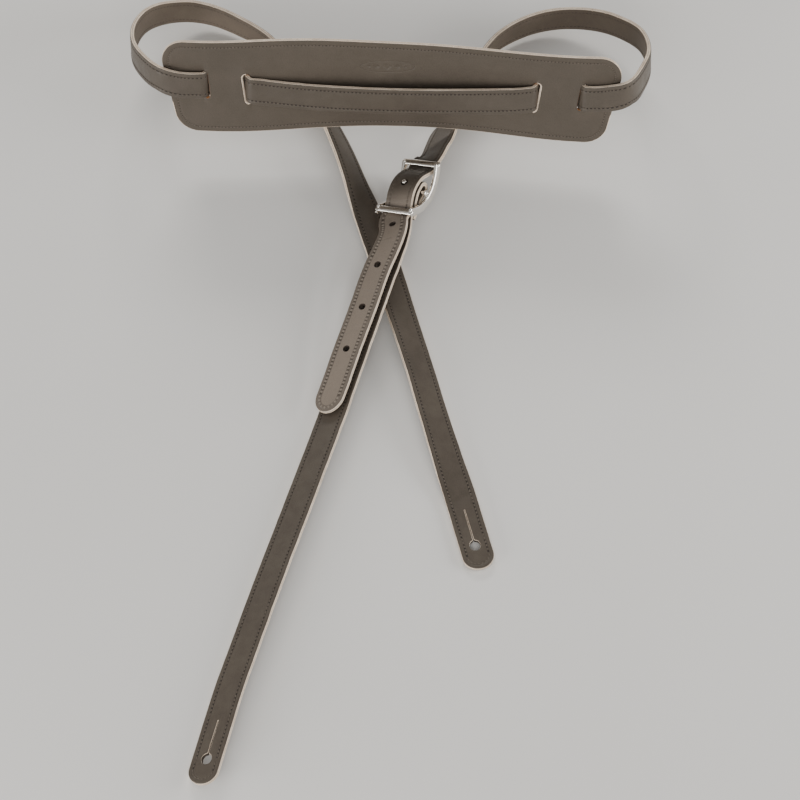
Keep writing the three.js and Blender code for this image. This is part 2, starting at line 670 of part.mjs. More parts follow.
// Short strap, folded round the centre bar, with a slot in the fold at the stud.
function addShortStrap() {
  const size = { along: 11, across: 4.4, out: 7 };
  const slotOverBar = 2.4;
  const threadFromStart = 24;
  const slot = new THREE.BoxGeometry(size.along, size.across, size.out);
  slot.translate(0, 0, CENTRE_BAR_OUT + CENTRE_BAR_R + slotOverBar);
  const cut = toSolid(slot.applyMatrix4(buckleMatrix));
  const end = LEFT_TAIL_LINE - HALF_FLEX;
  addPlies('short_strap', shortPath, 0, end, (ply) => ply.subtract(cut));
  addThreadRows('short_strap', shortPath, SHORT_END - mainPath.length + threadFromStart,
    end - THREAD_SHORT, ['inner', 'outer']);
}

// ---------------------------------------------------------------- buckle
// Turns an extruded profile so that its x lies along the strap, y out of it and z across it.
const profileAcross = new THREE.Matrix4().makeBasis(
  new THREE.Vector3(1, 0, 0), new THREE.Vector3(0, 0, 1), new THREE.Vector3(0, -1, 0));
const BUCKLE_HALF_SPAN = BUCKLE_SPAN / 2;

// Side plate profile: a parabolic band bowed back, with the lug standing on its inner edge.
function sidePlateShape() {
  const outer = [];
  const inner = [];
  for (let k = 0; k <= 14; k++) {
    const x = -BUCKLE_HALF_SPAN + (BUCKLE_SPAN * k) / 14;
    const y = -ARC_DEPTH * (1 - (x / BUCKLE_HALF_SPAN) ** 2);
    const slope = (2 * ARC_DEPTH * x) / BUCKLE_HALF_SPAN ** 2;
    const scale = Math.hypot(1, slope);
    const dx = ((ARC_BAND / 2) * slope) / scale;
    const dy = ARC_BAND / 2 / scale;
    outer.push(new THREE.Vector2(x + dx, y - dy));
    inner.push(new THREE.Vector2(x - dx, y + dy));
  }
  const foot = -ARC_DEPTH + ARC_BAND / 2 + 0.2;
  const lug = [
    [-LUG_HALF, foot],
    [-LUG_HALF + LUG_TAPER, CENTRE_BAR_OUT],
    [-LUG_TOP_HALF, CENTRE_BAR_OUT + LUG_TOP_RISE],
    [LUG_TOP_HALF, CENTRE_BAR_OUT + LUG_TOP_RISE],
    [LUG_HALF - LUG_TAPER, CENTRE_BAR_OUT],
    [LUG_HALF, foot],
  ].map(([x, y]) => new THREE.Vector2(x - BUCKLE_MID, y));
  const crown = [
    ...inner.filter((point) => point.x < lug[0].x - LUG_CLEAR),
    ...lug,
    ...inner.filter((point) => point.x > lug[5].x + LUG_CLEAR),
  ];
  return new THREE.Shape([...outer, ...crown.reverse()]);
}

function sidePlate(across) {
  const geometry = prism(sidePlateShape(), SIDE_T).applyMatrix4(profileAcross);
  return toSolid(geometry.translate(BUCKLE_MID, across, 0));
}

// End bar with a squarish rounded section.
function endBar(along) {
  const softened = (value) => Math.sign(value) * Math.sqrt(Math.abs(value));
  const outline = [];
  for (let k = 0; k < 20; k++) {
    const a = (2 * Math.PI * k) / 20;
    outline.push(new THREE.Vector2(
      (BAR_W / 2) * softened(Math.cos(a)), (BAR_T / 2) * softened(Math.sin(a))));
  }
  const geometry = prism(new THREE.Shape(outline), 2 * BUCKLE_HALF_W);
  return toSolid(geometry.applyMatrix4(profileAcross).translate(BUCKLE_MID + along, 0, 0));
}

function centreBar() {
  const length = 2 * BUCKLE_HALF_W - SIDE_T;
  const geometry = new THREE.CylinderGeometry(CENTRE_BAR_R, CENTRE_BAR_R, length, 18);
  return toSolid(geometry.translate(0, 0, CENTRE_BAR_OUT));
}

function buckleStud() {
  const foot = CENTRE_BAR_OUT + CENTRE_BAR_R + BAR_TO_STUD;
  const profile = [              // radius, height
    [0, foot],
    [STUD_R, foot],
    [STUD_R, STUD_TOP - 1.2],
    [STUD_R + 0.35, STUD_TOP - 0.9],
    [STUD_R + 0.3, STUD_TOP - 0.4],
    [0.7, STUD_TOP],
    [0, STUD_TOP],
  ].map(([radius, height]) => new THREE.Vector2(radius, height));
  return toSolid(new THREE.LatheGeometry(profile, 18).rotateX(Math.PI / 2));
}

function makeBuckle() {
  const buckle = new THREE.Group();
  buckle.applyMatrix4(buckleMatrix);
  const side = BUCKLE_HALF_W - SIDE_T / 2;
  const frame = union([
    sidePlate(side), sidePlate(-side),
    endBar(BUCKLE_HALF_SPAN), endBar(-BUCKLE_HALF_SPAN),
    centreBar(),
  ]);
  addMesh(buckle, 'buckle_frame', frame, nickel());
  addMesh(buckle, 'buckle_stud', buckleStud(), nickel());
  return buckle;
}

// ---------------------------------------------------------------- pad
// Outline points, anticlockwise from the middle of the lower edge: a rounded trapezium
// stretched between the curves of the lower and upper edges.
function padOutline() {
  const corners = filleted([
    [0, 0, 0],
    [PAD_HALF_BOTTOM, 0, PAD_CORNER_BOTTOM],
    [PAD_HALF_TOP, PAD_H, PAD_CORNER_TOP],
    [-PAD_HALF_TOP, PAD_H, PAD_CORNER_TOP],
    [-PAD_HALF_BOTTOM, 0, PAD_CORNER_BOTTOM],
    [0, 0, 0],
  ], 0.2);
  const outline = [];
  for (let i = 0; i < corners.length - 1; i++) {
    const [x0, y0] = corners[i];
    const [x1, y1] = corners[i + 1];
    const steps = Math.max(1, Math.round(Math.hypot(x1 - x0, y1 - y0) / PAD_OUTLINE_STEP));
    for (let k = 0; k < steps; k++) {
      const x = x0 + ((x1 - x0) * k) / steps;
      const y = y0 + ((y1 - y0) * k) / steps;
      const t = y / PAD_H;
      outline.push(new THREE.Vector2(x, (1 - t) * padBottom(x) + t * padTop(x)));
    }
  }
  return outline;
}

const padPrism = (points) => toSolid(prism(new THREE.Shape(points), PAD_CUT_DEPTH));

function padSlot([lower, upper]) {
  const bottom = new THREE.Vector2(...lower);
  const top = new THREE.Vector2(...upper);
  const up = top.clone().sub(bottom).normalize();
  const side = new THREE.Vector2(-up.y, up.x);
  const points = [];
  for (const [centre, radius] of [[bottom, -SLOT_W / 2], [top, SLOT_W / 2]]) {
    for (let k = 0; k <= 8; k++) {
      const a = (Math.PI * k) / 8;
      points.push(centre.clone()
        .addScaledVector(up, radius * Math.sin(a))
        .addScaledVector(side, -radius * Math.cos(a)));
    }
  }
  return padPrism(points);
}

// One bowed layer of the pad, between two distances out of its middle surface.
function padLayer(back, front, outlineSolid, slots) {
  const length = 2 * PAD_HALF_TOP + 4;
  const geometry = new THREE.BoxGeometry(length, PAD_H + 12, front - back, 26, 1, 1);
  geometry.translate(0, PAD_H / 2, (back + front) / 2);
  const position = geometry.attributes.position;
  for (let i = 0; i < position.count; i++) {
    position.setZ(i, position.getZ(i) + bow(position.getX(i)));
  }
  return toSolid(geometry).intersect(outlineSolid).subtract(slots);
}

// Stitch line round the pad, made of two runs that overlap a little where they meet.
function padSeam(outline) {
  const overrun = 0.2;           // in outline steps
  const count = outline.length;
  const around = (points, i) => points[((i % count) + count) % count];
  const line = outline.map((point, i) => {
    const edge = around(outline, i + 1).clone().sub(around(outline, i - 1)).normalize();
    return new THREE.Vector2(
      point.x - edge.y * PAD_THREAD_INSET, point.y + edge.x * PAD_THREAD_INSET);
  });
  const step = (i) => around(line, i + 1).clone().sub(around(line, i));
  const seamFrame = (place) => {
    const i = Math.floor(place);
    const part = place - i;
    const point = around(line, i).clone().lerp(around(line, i + 1), part);
    const along = step(i).lerp(step(i + 1), part);
    if (part === 0) along.add(step(i - 1));
    along.normalize();
    return {
      point: new THREE.Vector3(point.x, point.y, bow(point.x)),
      across: new THREE.Vector3(-along.y, along.x, 0),
      normal: UP,
    };
  };
  const run = (from, to) => {
    const places = [from - overrun];
    for (let i = from; i <= to; i++) places.push(i);
    places.push(to + overrun);
    return sweptBox(places.map(seamFrame), threadSection(0, PAD_T / 2));
  };
  const middle = Math.floor(count / 2);
  return run(0, middle).add(run(middle, count));
}

function makePad() {
  const pad = new THREE.Group();
  pad.applyMatrix4(padMatrix);
  const outline = padOutline();
  const solid = padPrism(outline);
  const slots = union(Object.values(SLOTS).map(padSlot));
  const front = padLayer(HALF_GAP, PAD_T / 2, solid, slots);
  const back = padLayer(-PAD_T / 2, -HALF_GAP, solid, slots);
  addMesh(pad, 'pad_front_leather', front, padGrain());
  addMesh(pad, 'pad_back_lining', back, lining());
  addMesh(pad, 'pad_seam_thread', padSeam(outline), thread());
  return pad;
}

// ---------------------------------------------------------------- assembly
// Long strap, from the right tail's end to the free tip. The middle holds both loops and the
// front band through the pad.
addTab('right_tab', longPath, RIGHT_TAB_LINE, 0);
addLength('right_tail', longPath, RIGHT_TAB_LINE, RIGHT_TAIL_LINE, ['inner', 'outer']);
addLength('strap_middle', longPath, RIGHT_TAIL_LINE, LEFT_DROP_LINE, ['upper', 'lower']);
addBuckledLength();
addFreeTip();
// Short strap, from the buckle to the left tail's end.
addShortStrap();
addLength('left_tail', shortPath, LEFT_TAIL_LINE, LEFT_TAB_LINE, ['inner', 'outer']);
addTab('left_tab', shortPath, LEFT_TAB_LINE, SHORT_END);

strap.add(makeBuckle());
strap.add(makePad());
strap.position.set(...LAYOUT_SHIFT);

export default strap;
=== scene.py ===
"""Narrow two-ply leather guitar strap with a sliding shoulder pad, coiled on a table.

Z is up. The pad leans back near +Y with one strap loop on either side. The long strap runs from its
right end (-Y), round the left loop, through the pad's four slots, round the right loop and through
the buckle to its free tip. The short strap runs from the buckle to the left end, furthest towards -Y.
Lengths are millimetres until a mesh is made. "s" is a length along a strap, "w" a place across it
and "n" a height out of its grain side; "a" and "b" are places across and up the pad.
"""

import math

import bpy
import numpy as np
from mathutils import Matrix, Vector
from mathutils.geometry import delaunay_2d_cdt


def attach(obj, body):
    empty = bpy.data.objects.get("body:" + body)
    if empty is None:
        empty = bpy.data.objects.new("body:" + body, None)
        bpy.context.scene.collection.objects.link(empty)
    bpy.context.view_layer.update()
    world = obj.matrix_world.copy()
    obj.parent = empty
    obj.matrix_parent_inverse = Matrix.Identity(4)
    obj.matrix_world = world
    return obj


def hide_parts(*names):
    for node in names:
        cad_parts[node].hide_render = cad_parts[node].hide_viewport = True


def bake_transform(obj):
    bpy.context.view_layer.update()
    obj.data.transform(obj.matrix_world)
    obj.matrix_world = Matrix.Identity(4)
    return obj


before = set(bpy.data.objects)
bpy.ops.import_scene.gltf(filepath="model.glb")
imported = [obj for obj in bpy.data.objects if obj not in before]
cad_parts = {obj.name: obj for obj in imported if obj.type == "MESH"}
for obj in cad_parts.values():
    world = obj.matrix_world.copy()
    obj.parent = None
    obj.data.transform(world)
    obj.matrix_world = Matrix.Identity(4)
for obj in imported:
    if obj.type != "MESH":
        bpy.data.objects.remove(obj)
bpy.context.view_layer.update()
MM = 0.001
OFFSET = np.array([1.9040, 185.3680, 0.2118])  # puts the origin under the middle of the whole outline
UP = np.array([0.0, 0.0, 1.0])
rng = np.random.default_rng(7)

# ------------------------------------------------------------------ strap sizes
STRAP_WIDTH, STRAP_THICK = 19.0, 2.8
HALF_WIDTH, HALF_THICK = STRAP_WIDTH / 2, STRAP_THICK / 2
STITCH = 2.5  # stitch pitch
STITCH_INSET = 3.0  # stitch row to strap edge
STITCH_ROW = HALF_WIDTH - STITCH_INSET
GRAIN_LIFT, LINING_LIFT = HALF_THICK - 0.08, HALF_THICK - 0.1  # stitch centres, from mid-thickness
END_ROUND, TIP_ROUND = 8.6, 11.5  # lengths of the rounded ends
HOLE_R, BUTTON_HOLE_R, SLIT_LENGTH = 2.2, 3.3, 24.0
SLIT_HALF_START, SLIT_HALF_END = 0.3, 0.16
BUTTON_FROM_END = 15.5
HOLE_PITCH = [32.1, 63.6, 94.2, 124.0]  # tip holes, measured from the stud
RIGHT_TAB_S, RIGHT_TAIL_S = 46.8, 164.0
SHORT_TAIL_FROM_END, SHORT_TAB_FROM_END = 230.8, 49.0

# Stations across the strap: distances from its centre on each face
GRAIN_STATIONS = [
    0, 1.2, 2.4, 3.6, 4.6, 5.25, 5.5, 5.68, 5.82, 5.98, 6.2, 6.5,
    6.8, 7.02, 7.18, 7.32, 7.5, 7.9, 8.4, 8.8, 9.08, 9.28, 9.42, 9.5,
]
LINING_STATIONS = [0, 1.2, 2.4, 3.6, 4.6, 5.9, 6.25, 6.5, 6.75, 7.1, 8.0, 8.8, 9.15, 9.38, 9.5]
# Cut edge from grain side to lining side: (inset, height)
WALL_STATIONS = [
    (0.0, 0.62), (-0.03, 0.2), (-0.03, 0.12), (0.16, 0.0), (-0.03, -0.12), (-0.03, -0.2), (0.0, -0.7),
]
# The mesh patch round each hole: half size, and rows along the strap from the hole's centre
ROUND_PATCH, KEY_PATCH, KEY_PATCH_END = 3.6, 4.6, SLIT_LENGTH + 2.4
ROUND_ROWS = (-3.6, -2.4, -1.2, 0, 1.2, 2.4, 3.6)
KEY_ROWS = (-4.6, -3.4, -2.2, -1.1, 0, 1.1, 2.2, 3.4, 4.6, KEY_PATCH_END)
CAP_STEPS = 22  # steps round a rounded end
BROAD_SEAM = 1.05  # half width of the pressed seam on the free tip
RIM_FROM = 5.2  # the rim beside a broad seam starts this far from the centre

# ------------------------------------------------------------------ pad sizes
PAD_HALF_TOP, PAD_HALF_BOTTOM, PAD_HEIGHT, PAD_THICK = 146.5, 135.0, 64.0, 3.0
PAD_RECLINE, PAD_YAW = 72, -2.2  # degrees
PAD_ORIGIN = np.array([-1.3, -15.5, 18.5])
PAD_STITCH = 2.2
STITCH_POINTS = 6  # outline points per pad stitch
# Curves over a: a values, then heights there
PAD_BAND = [[-146, -115, -92, -50, 0, 50, 94.5, 120, 146],
            [37, 34.5, 31.6, 27.6, 26.3, 27.6, 30.4, 32.8, 36.5]]
PAD_BOW = [[-148, -105, -66, -30, 0, 30, 55, 105, 148],
           [3.2, 3.0, 0.2, -2.8, -4.2, -4.4, -3.2, 1.4, 3.2]]
PAD_TOP = [[-148, -113, -82, -50, -13, 24, 50, 92, 117, 148],
           [66.8, 65.9, 67.0, 67.3, 65.2, 63.6, 62.8, 62.2, 62.3, 63.4]]
PAD_BOTTOM = [[-148, -100, -50, 0, 50, 100, 148], [-1.6, -2.9, -1.0, 0.3, -0.8, -2.8, -2.4]]
# Lower end, upper end, and which side (+1 for +a) the tongue covering the strap is on
SLOTS = {
    "left_outer": ([-115.7, 26.1], [-116.9, 42.0], 1),
    "left_inner": ([-90.2, 22.7], [-92.0, 39.8], -1),
    "right_inner": ([90.1, 21.4], [92.0, 38.6], 1),
    "right_outer": ([118.5, 24.9], [120.4, 40.2], -1),
}
INNER_SLOTS = ("left_inner", "right_inner")
SLOT_HALF, SLOT_SHIFT = 2.2, 0.85  # half width; sideways slant between front and back
STRAP_OFF_PAD = 3.65  # strap centre line to pad centre at the slots
PAD_SEAM = 3.8  # seam's distance from the outline
PAD_RINGS = [0, 0.1, 0.25, 0.5, 0.9, 1.6, 2.3, 3.0, 3.4, PAD_SEAM, 4.2, 4.6, 5.4, 6.6, 8.0]
SLOT_RINGS = [0, 0.12, 0.3, 0.6, 1.1, 1.9, 3.0]

# ------------------------------------------------------------------ buckle sizes
BUCKLE_SPAN, BUCKLE_HALF_WIDTH, RAIL_THICK = 39.4, 13.4, 2.3
BUCKLE_MID = -0.7  # middle of the frame, along from the stud
ARC_DEPTH, ARC_BAND = 9.0, 4.4  # sag and height of the curved side rails
CENTRE_BAR_R, CENTRE_BAR_N = 1.4, -3.6
BUCKLE_ORIGIN = np.array([9.1, -58.9, 16.9])
BUCKLE_HEADING = np.array([-0.4335, -0.9011, 0.0])
BUCKLE_ROLL = 24
FOLD_ALONG = -3.0  # centre of the short strap's fold

# ------------------------------------------------------------------ strap routes: x, y, z, roll degrees
RIGHT_TAIL = [
    [51.6, -318.1, 1.4, 0], [48.3, -303.4, 1.4, 0], [44.5, -287.5, 1.4, 0], [40.9, -272.2, 1.4, 0],
    [35.1, -252.7, 2.9, 9], [29.5, -232.9, 4.1, 17], [23.9, -212.6, 4.7, 21], [18.5, -191.8, 5.0, 23],
    [12.7, -170.6, 5.0, 23], [6.6, -149.0, 4.7, 21], [-0.6, -122.9, 3.7, 14], [-7.9, -96.8, 3.0, 10],
    [-15.9, -71.6, 3.8, 15], [-23.3, -50.3, 6.7, 36], [-30.8, -28.0, 7.7, 45], [-37.4, -11.3, 8.2, 50],
]
LEFT_LOOP = [
    [-86.0, 62.1, 11.2, 88], [-98.7, 70.2, 11.3, 92], [-110.7, 76.7, 11.7, 94],
    [-125.2, 81.1, 13.0, 95], [-136.8, 80.2, 16.0, 95], [-147.5, 76.0, 20.0, 94],
    [-158.4, 67.0, 26.0, 92], [-164.9, 52.9, 33.0, 90], [-166.8, 37.3, 40.0, 88],
    [-163.7, 20.8, 47.5, 84], [-156.6, 7.1, 53.5, 80], [-147.6, -3.2, 57.4, 76],
]
RIGHT_LOOP = [
    [147.8, -15.0, 57.4, 76], [156.4, -1.9, 53.0, 80], [162.2, 15.3, 46.5, 84],
    [162.6, 31.7, 39.0, 88], [158.7, 46.4, 32.0, 90], [150.0, 58.5, 25.5, 92],
    [137.1, 69.1, 19.5, 94], [122.5, 74.6, 15.5, 95], [108.2, 76.2, 13.0, 95],
    [93.8, 73.9, 11.7, 94], [79.9, 67.7, 11.3, 92], [67.9, 58.8, 11.2, 88],
    [56.2, 44.6, 11.0, 80], [44.8, 22.8, 10.4, 68], [36.6, -1.5, 9.0, 56],
]
LEFT_DROP = [[33.1, -11.0, 9.3, 36], [28.2, -24.0, 10.9, 34.2], [22.3, -36.6, 14.0, 30.5]]
TIP = [
    [0.3, -87.8, 17.0, 24], [-8.9, -116.9, 17.6, 24], [-18.1, -145.2, 15.2, 24],
    [-27.8, -173.9, 12.0, 25], [-35.5, -198.6, 9.7, 25], [-41.7, -216.4, 8.5, 25],
]
SHORT = [
    [2.8, -86.2, 11.6, 24], [-2.0, -106.7, 12.4, 24], [-9.5, -130.4, 12.0, 24],
    [-17.5, -155.7, 9.9, 25], [-26.2, -182.7, 7.5, 25], [-36.0, -214.4, 5.6, 25],
    [-48.7, -254.0, 5.3, 25], [-61.7, -294.1, 5.3, 25], [-74.4, -333.2, 5.3, 25],
    [-86.2, -371.4, 5.1, 24], [-92.4, -391.4, 5.1, 24], [-97.7, -411.2, 5.0, 23],
    [-100.8, -424.0, 5.0, 23], [-104.6, -440.4, 5.0, 23], [-107.8, -454.2, 5.0, 23],
]
# In the buckle: (along, out), with the stud at along 0
THROUGH_BUCKLE = [
    [-22.8, -3.3], [-18.2, -3.4], [-14.0, -1.4], [-7.8, 2.3], [0, 4.0],
    [7.6, 2.3], [13.2, -1.2], [17.2, -3.3], [21.8, -3.4],
]
SHORT_START = [[3, -0.9], [7.5, -2.9], [12.5, -5.6], [19, -7.6]]
TURN_BACK_UNDER_BAR = [1.6, -6.8]
# The short strap's turned-back end: (length along the main run, drop below it)
TURN_BACK = [[15.0, 3.1], [11.0, 3.3], [6.5, 4.1]]


# ------------------------------------------------------------------ curves
def unit(v):
    v = np.asarray(v, float)
    return v / np.maximum(np.linalg.norm(v, axis=-1, keepdims=True), 1e-12)


def bell(distance, width):
    return np.exp(-((distance / width) ** 2))


def fade(distance, reach):
    """1 at distance 0, falling evenly to 0 at reach."""
    return np.clip(1 - distance / reach, 0, 1)


def run_length(points):
    steps = np.linalg.norm(np.diff(points, axis=0), axis=1)
    return np.concatenate([[0], np.cumsum(steps)])


def natural_spline(knots, values):
    """Natural cubic spline; returns sample(x) -> (points, slopes)."""
    knots = np.asarray(knots, float)
    count = len(knots)
    values = np.asarray(values, float).reshape(count, -1)
    gap = np.diff(knots)
    system = np.zeros((count, count))
    target = np.zeros_like(values)
    system[0, 0] = system[-1, -1] = 1
    for i in range(1, count - 1):
        system[i, i - 1:i + 2] = gap[i - 1], 2 * (gap[i - 1] + gap[i]), gap[i]
        rise = (values[i + 1] - values[i]) / gap[i] - (values[i] - values[i - 1]) / gap[i - 1]
        target[i] = 6 * rise
    bend = np.linalg.solve(system, target)

    def sample(x):
        x = np.atleast_1d(np.asarray(x, float))
        i = np.clip(np.searchsorted(knots, x, side="right") - 1, 0, count - 2)
        span = gap[i][:, None]
        ahead, behind = (knots[i + 1] - x)[:, None], (x - knots[i])[:, None]
        start = values[i] / span - bend[i] * span / 6
        end = values[i + 1] / span - bend[i + 1] * span / 6
        cubic = (bend[i] * ahead**3 + bend[i + 1] * behind**3) / (6 * span)
        square = (bend[i + 1] * behind**2 - bend[i] * ahead**2) / (2 * span)
        return cubic + start * ahead + end * behind, square - start + end

    return sample


def profile(table):
    spline = natural_spline(*table)
    return lambda x: spline(x)[0][:, 0]


def across_from_roll(along, roll):
    """Width direction of a strap heading along, rolled by degrees from level."""
    side = unit(np.cross(UP, along))
    rise = np.cross(along, side)
    angle = math.radians(roll)
    return side * math.cos(angle) + rise * math.sin(angle)


class Path:
    """Strap centre line through controls: (point, roll in degrees or width direction)."""

    def __init__(self, controls, flat_until=-1.0, straight_from=1e9):
        points = np.array([c[0] for c in controls], float)
        self.knots = run_length(points)
        self.length = self.knots[-1]
        line = natural_spline(self.knots, points)
        rows = []
        for knot, (point, turn) in zip(self.knots, controls):
            along = unit(line(knot)[1][0])
            across = turn if isinstance(turn, np.ndarray) else across_from_roll(along, turn)
            across = unit(across - along * (across @ along))
            rows.append(np.concatenate([point, across]))
        self.spline = natural_spline(self.knots, rows)
        self.flat_until, self.straight_from = flat_until, straight_from

    def bent(self, s):
        values, slopes = self.spline(s)
        along = unit(slopes[:, :3])
        across = values[:, 3:]
        across = unit(across - along * np.sum(across * along, axis=1, keepdims=True))
        return values[:, :3].copy(), along, across, np.cross(along, across)

    def at(self, s):
        """Positions, directions along, directions across and outward normals at lengths s."""
        s = np.atleast_1d(np.asarray(s, float))
        past = np.maximum(0, s - self.straight_from)
        points, along, across, out = self.bent(s - past)
        points = points + along * past[:, None]
        flat = s < self.flat_until
        if flat.any():
            start, heading, _, _ = self.bent([self.flat_until])
            heading = unit(heading[0] * [1, 1, 0])
            start = start[0] * [1, 1, 0] + [0, 0, HALF_THICK]
            points[flat] = start + heading * (s[flat] - self.flat_until)[:, None]
            along[flat], across[flat], out[flat] = heading, np.cross(UP, heading), UP
        return points, along, across, out

    def point(self, s, w=0.0, n=0.0):
        s = np.atleast_1d(np.asarray(s, float))
        points, _, across, out = self.at(s)
        w, n = (np.broadcast_to(v, s.shape)[:, None] for v in (w, n))
        return points + across * w + out * n


def filleted(points, radii, step=0.3):
    """Polyline with rounded corners; step is the arc step in radians."""
    line = [points[0]]
    for i in range(1, len(points) - 1):
        corner = np.array(points[i], float)
        back, onward = unit(np.array(points[i - 1]) - corner), unit(np.array(points[i + 1]) - corner)
        angle = math.acos(max(-1, min(1, float(back @ onward))))
        radius = radii[i]
        reach = radius / math.tan(angle / 2)
        centre = unit(back + onward) * (radius / math.sin(angle / 2)) + corner
        start, end = back * reach + corner - centre, onward * reach + corner - centre
        angle0 = math.atan2(start[1], start[0])
        sweep = math.atan2(end[1], end[0]) - angle0
        while sweep > math.pi:
            sweep -= 2 * math.pi
        while sweep < -math.pi:
            sweep += 2 * math.pi
        count = max(2, int(abs(sweep) / step) + 1)
        for k in range(count + 1):
            turn = angle0 + sweep * k / count
            line.append([centre[0] + radius * math.cos(turn), centre[1] + radius * math.sin(turn)])
    line.append(points[-1])
    return line


def wobble(seed, step=6.0):
    """Smooth repeatable random curve with a new value every step."""
    origin, span = -50.0, 3000.0
    count = int(span / step) + 4
    values = np.random.default_rng(seed).normal(0, 1, count)

    def sample(s):
        x = (np.asarray(s, float) - origin) / step
        i = np.clip(np.floor(x).astype(int), 0, count - 2)
        k = x - i
        k = k * k * (3 - 2 * k)
        return values[i] * (1 - k) + values[i + 1] * k

    return sample


# ------------------------------------------------------------------ pad and buckle frames
yaw, recline = math.radians(PAD_YAW), math.radians(PAD_RECLINE)
PAD_ACROSS = np.array([math.cos(yaw), math.sin(yaw), 0.0])
PAD_UP = (np.array([-math.sin(yaw), math.cos(yaw), 0.0]) * math.cos(recline)
          + UP * math.sin(recline))
PAD_OUT = np.cross(PAD_ACROSS, PAD_UP)
bow, band_height = profile(PAD_BOW), profile(PAD_BAND)
pad_top, pad_bottom = profile(PAD_TOP), profile(PAD_BOTTOM)


def pad_point(a, b, height):
    a, b, height = (np.atleast_1d(np.asarray(v, float)) for v in (a, b, height))
    out = (height + bow(a))[:, None] * PAD_OUT
    return PAD_ORIGIN + a[:, None] * PAD_ACROSS + b[:, None] * PAD_UP + out


BUCKLE_ALONG = unit(BUCKLE_HEADING)
BUCKLE_ACROSS = across_from_roll(BUCKLE_ALONG, BUCKLE_ROLL)
BUCKLE_OUT = np.cross(BUCKLE_ALONG, BUCKLE_ACROSS)


def in_buckle(points):
    """One (along, across, out) point, or rows of them, from the buckle's frame."""
    along, across, out = np.moveaxis(np.asarray(points, float), -1, 0)[..., None]
    return BUCKLE_ORIGIN + along * BUCKLE_ALONG + across * BUCKLE_ACROSS + out * BUCKLE_OUT


# ------------------------------------------------------------------ strap paths
def rolled(rows):
    return [(np.array(row[:3], float), row[3]) for row in rows]


def through_buckle(rows):
    return [(in_buckle((along, 0, out)), BUCKLE_ACROSS) for along, out in rows]


def slot_centre(name, b=33):
    (a0, b0), (a1, b1), _ = SLOTS[name]
    return a0 + (a1 - a0) * (b - b0) / (b1 - b0)


def weave_side(outer, inner, away):
    """(a, height) points behind one tongue, outermost first; away is +1 on the right."""
    crossing = 2.1  # half the run from one face of the pad to the other
    bow_outer, bow_inner = float(bow(outer)[0]), float(bow(inner)[0])
    return [
        [outer + away * 20, STRAP_OFF_PAD + bow_outer + 1.1],
        [outer + away * crossing, STRAP_OFF_PAD + bow_outer],
        [outer - away * crossing, -STRAP_OFF_PAD + bow_outer],
        [inner + away * crossing, -STRAP_OFF_PAD + bow_inner],
        [inner - away * crossing, STRAP_OFF_PAD + bow_inner],
    ]


def weave_controls():
    left_outer, left_inner, right_inner, right_outer = (slot_centre(name) for name in SLOTS)
    # In front of the pad between the inner slots: (a, clearance)
    middle = [(left_inner + 14, 2.0), (-45, 2.0), (0, 1.8), (50, 1.6), (right_inner - 14, 1.6)]
    points = weave_side(left_outer, left_inner, -1)
    points += [[a, STRAP_OFF_PAD + clearance] for a, clearance in middle]
    points += weave_side(right_outer, right_inner, 1)[::-1]
    radii = [0] + [3.6] * 4 + [20, 60, 60, 60, 20] + [3.6] * 4 + [0]
    controls = []
    for a, height in filleted(points, radii):
        b = float(band_height(a)[0])
        controls.append((PAD_ORIGIN + a * PAD_ACROSS + b * PAD_UP + height * PAD_OUT, PAD_UP))
    return controls


to_buckle = (rolled(RIGHT_TAIL) + rolled(LEFT_LOOP) + weave_controls() + rolled(RIGHT_LOOP)
             + rolled(LEFT_DROP))
LONG = Path(to_buckle + through_buckle(THROUGH_BUCKLE) + rolled(TIP), flat_until=RIGHT_TAB_S)
STUD_S = LONG.knots[len(to_buckle) + [along for along, _ in THROUGH_BUCKLE].index(0)]
LEFT_DROP_S, TIP_S = STUD_S - 32.5, STUD_S + 25.6


def short_controls():
    """Turned-back end, fold round the centre bar, then the main run."""
    main = through_buckle(SHORT_START) + rolled(SHORT)
    main_path = Path(main)
    controls = []
    for s, drop in TURN_BACK:
        point, _, across, out = (v[0] for v in main_path.at(s))
        controls.append((point - out * drop, across))
    controls += through_buckle([TURN_BACK_UNDER_BAR])
    radius = CENTRE_BAR_R + 0.5 + HALF_THICK
    arc = []
    for degrees in range(-78, -279, -25):
        angle = math.radians(degrees)
        arc.append((FOLD_ALONG + radius * math.cos(angle), CENTRE_BAR_N + radius * math.sin(angle)))
    return controls + through_buckle(arc) + main


short_route = short_controls()
SHORT_END_S = Path(short_route).length
LEFT_TAIL_S, LEFT_TAB_S = SHORT_END_S - SHORT_TAIL_FROM_END, SHORT_END_S - SHORT_TAB_FROM_END
SHORT_PATH = Path(short_route, straight_from=LEFT_TAB_S)


# ------------------------------------------------------------------ materials
BLACK, WHITE = (0, 0, 0), (1, 1, 1)


def grey(value):
    return (value,) * 3


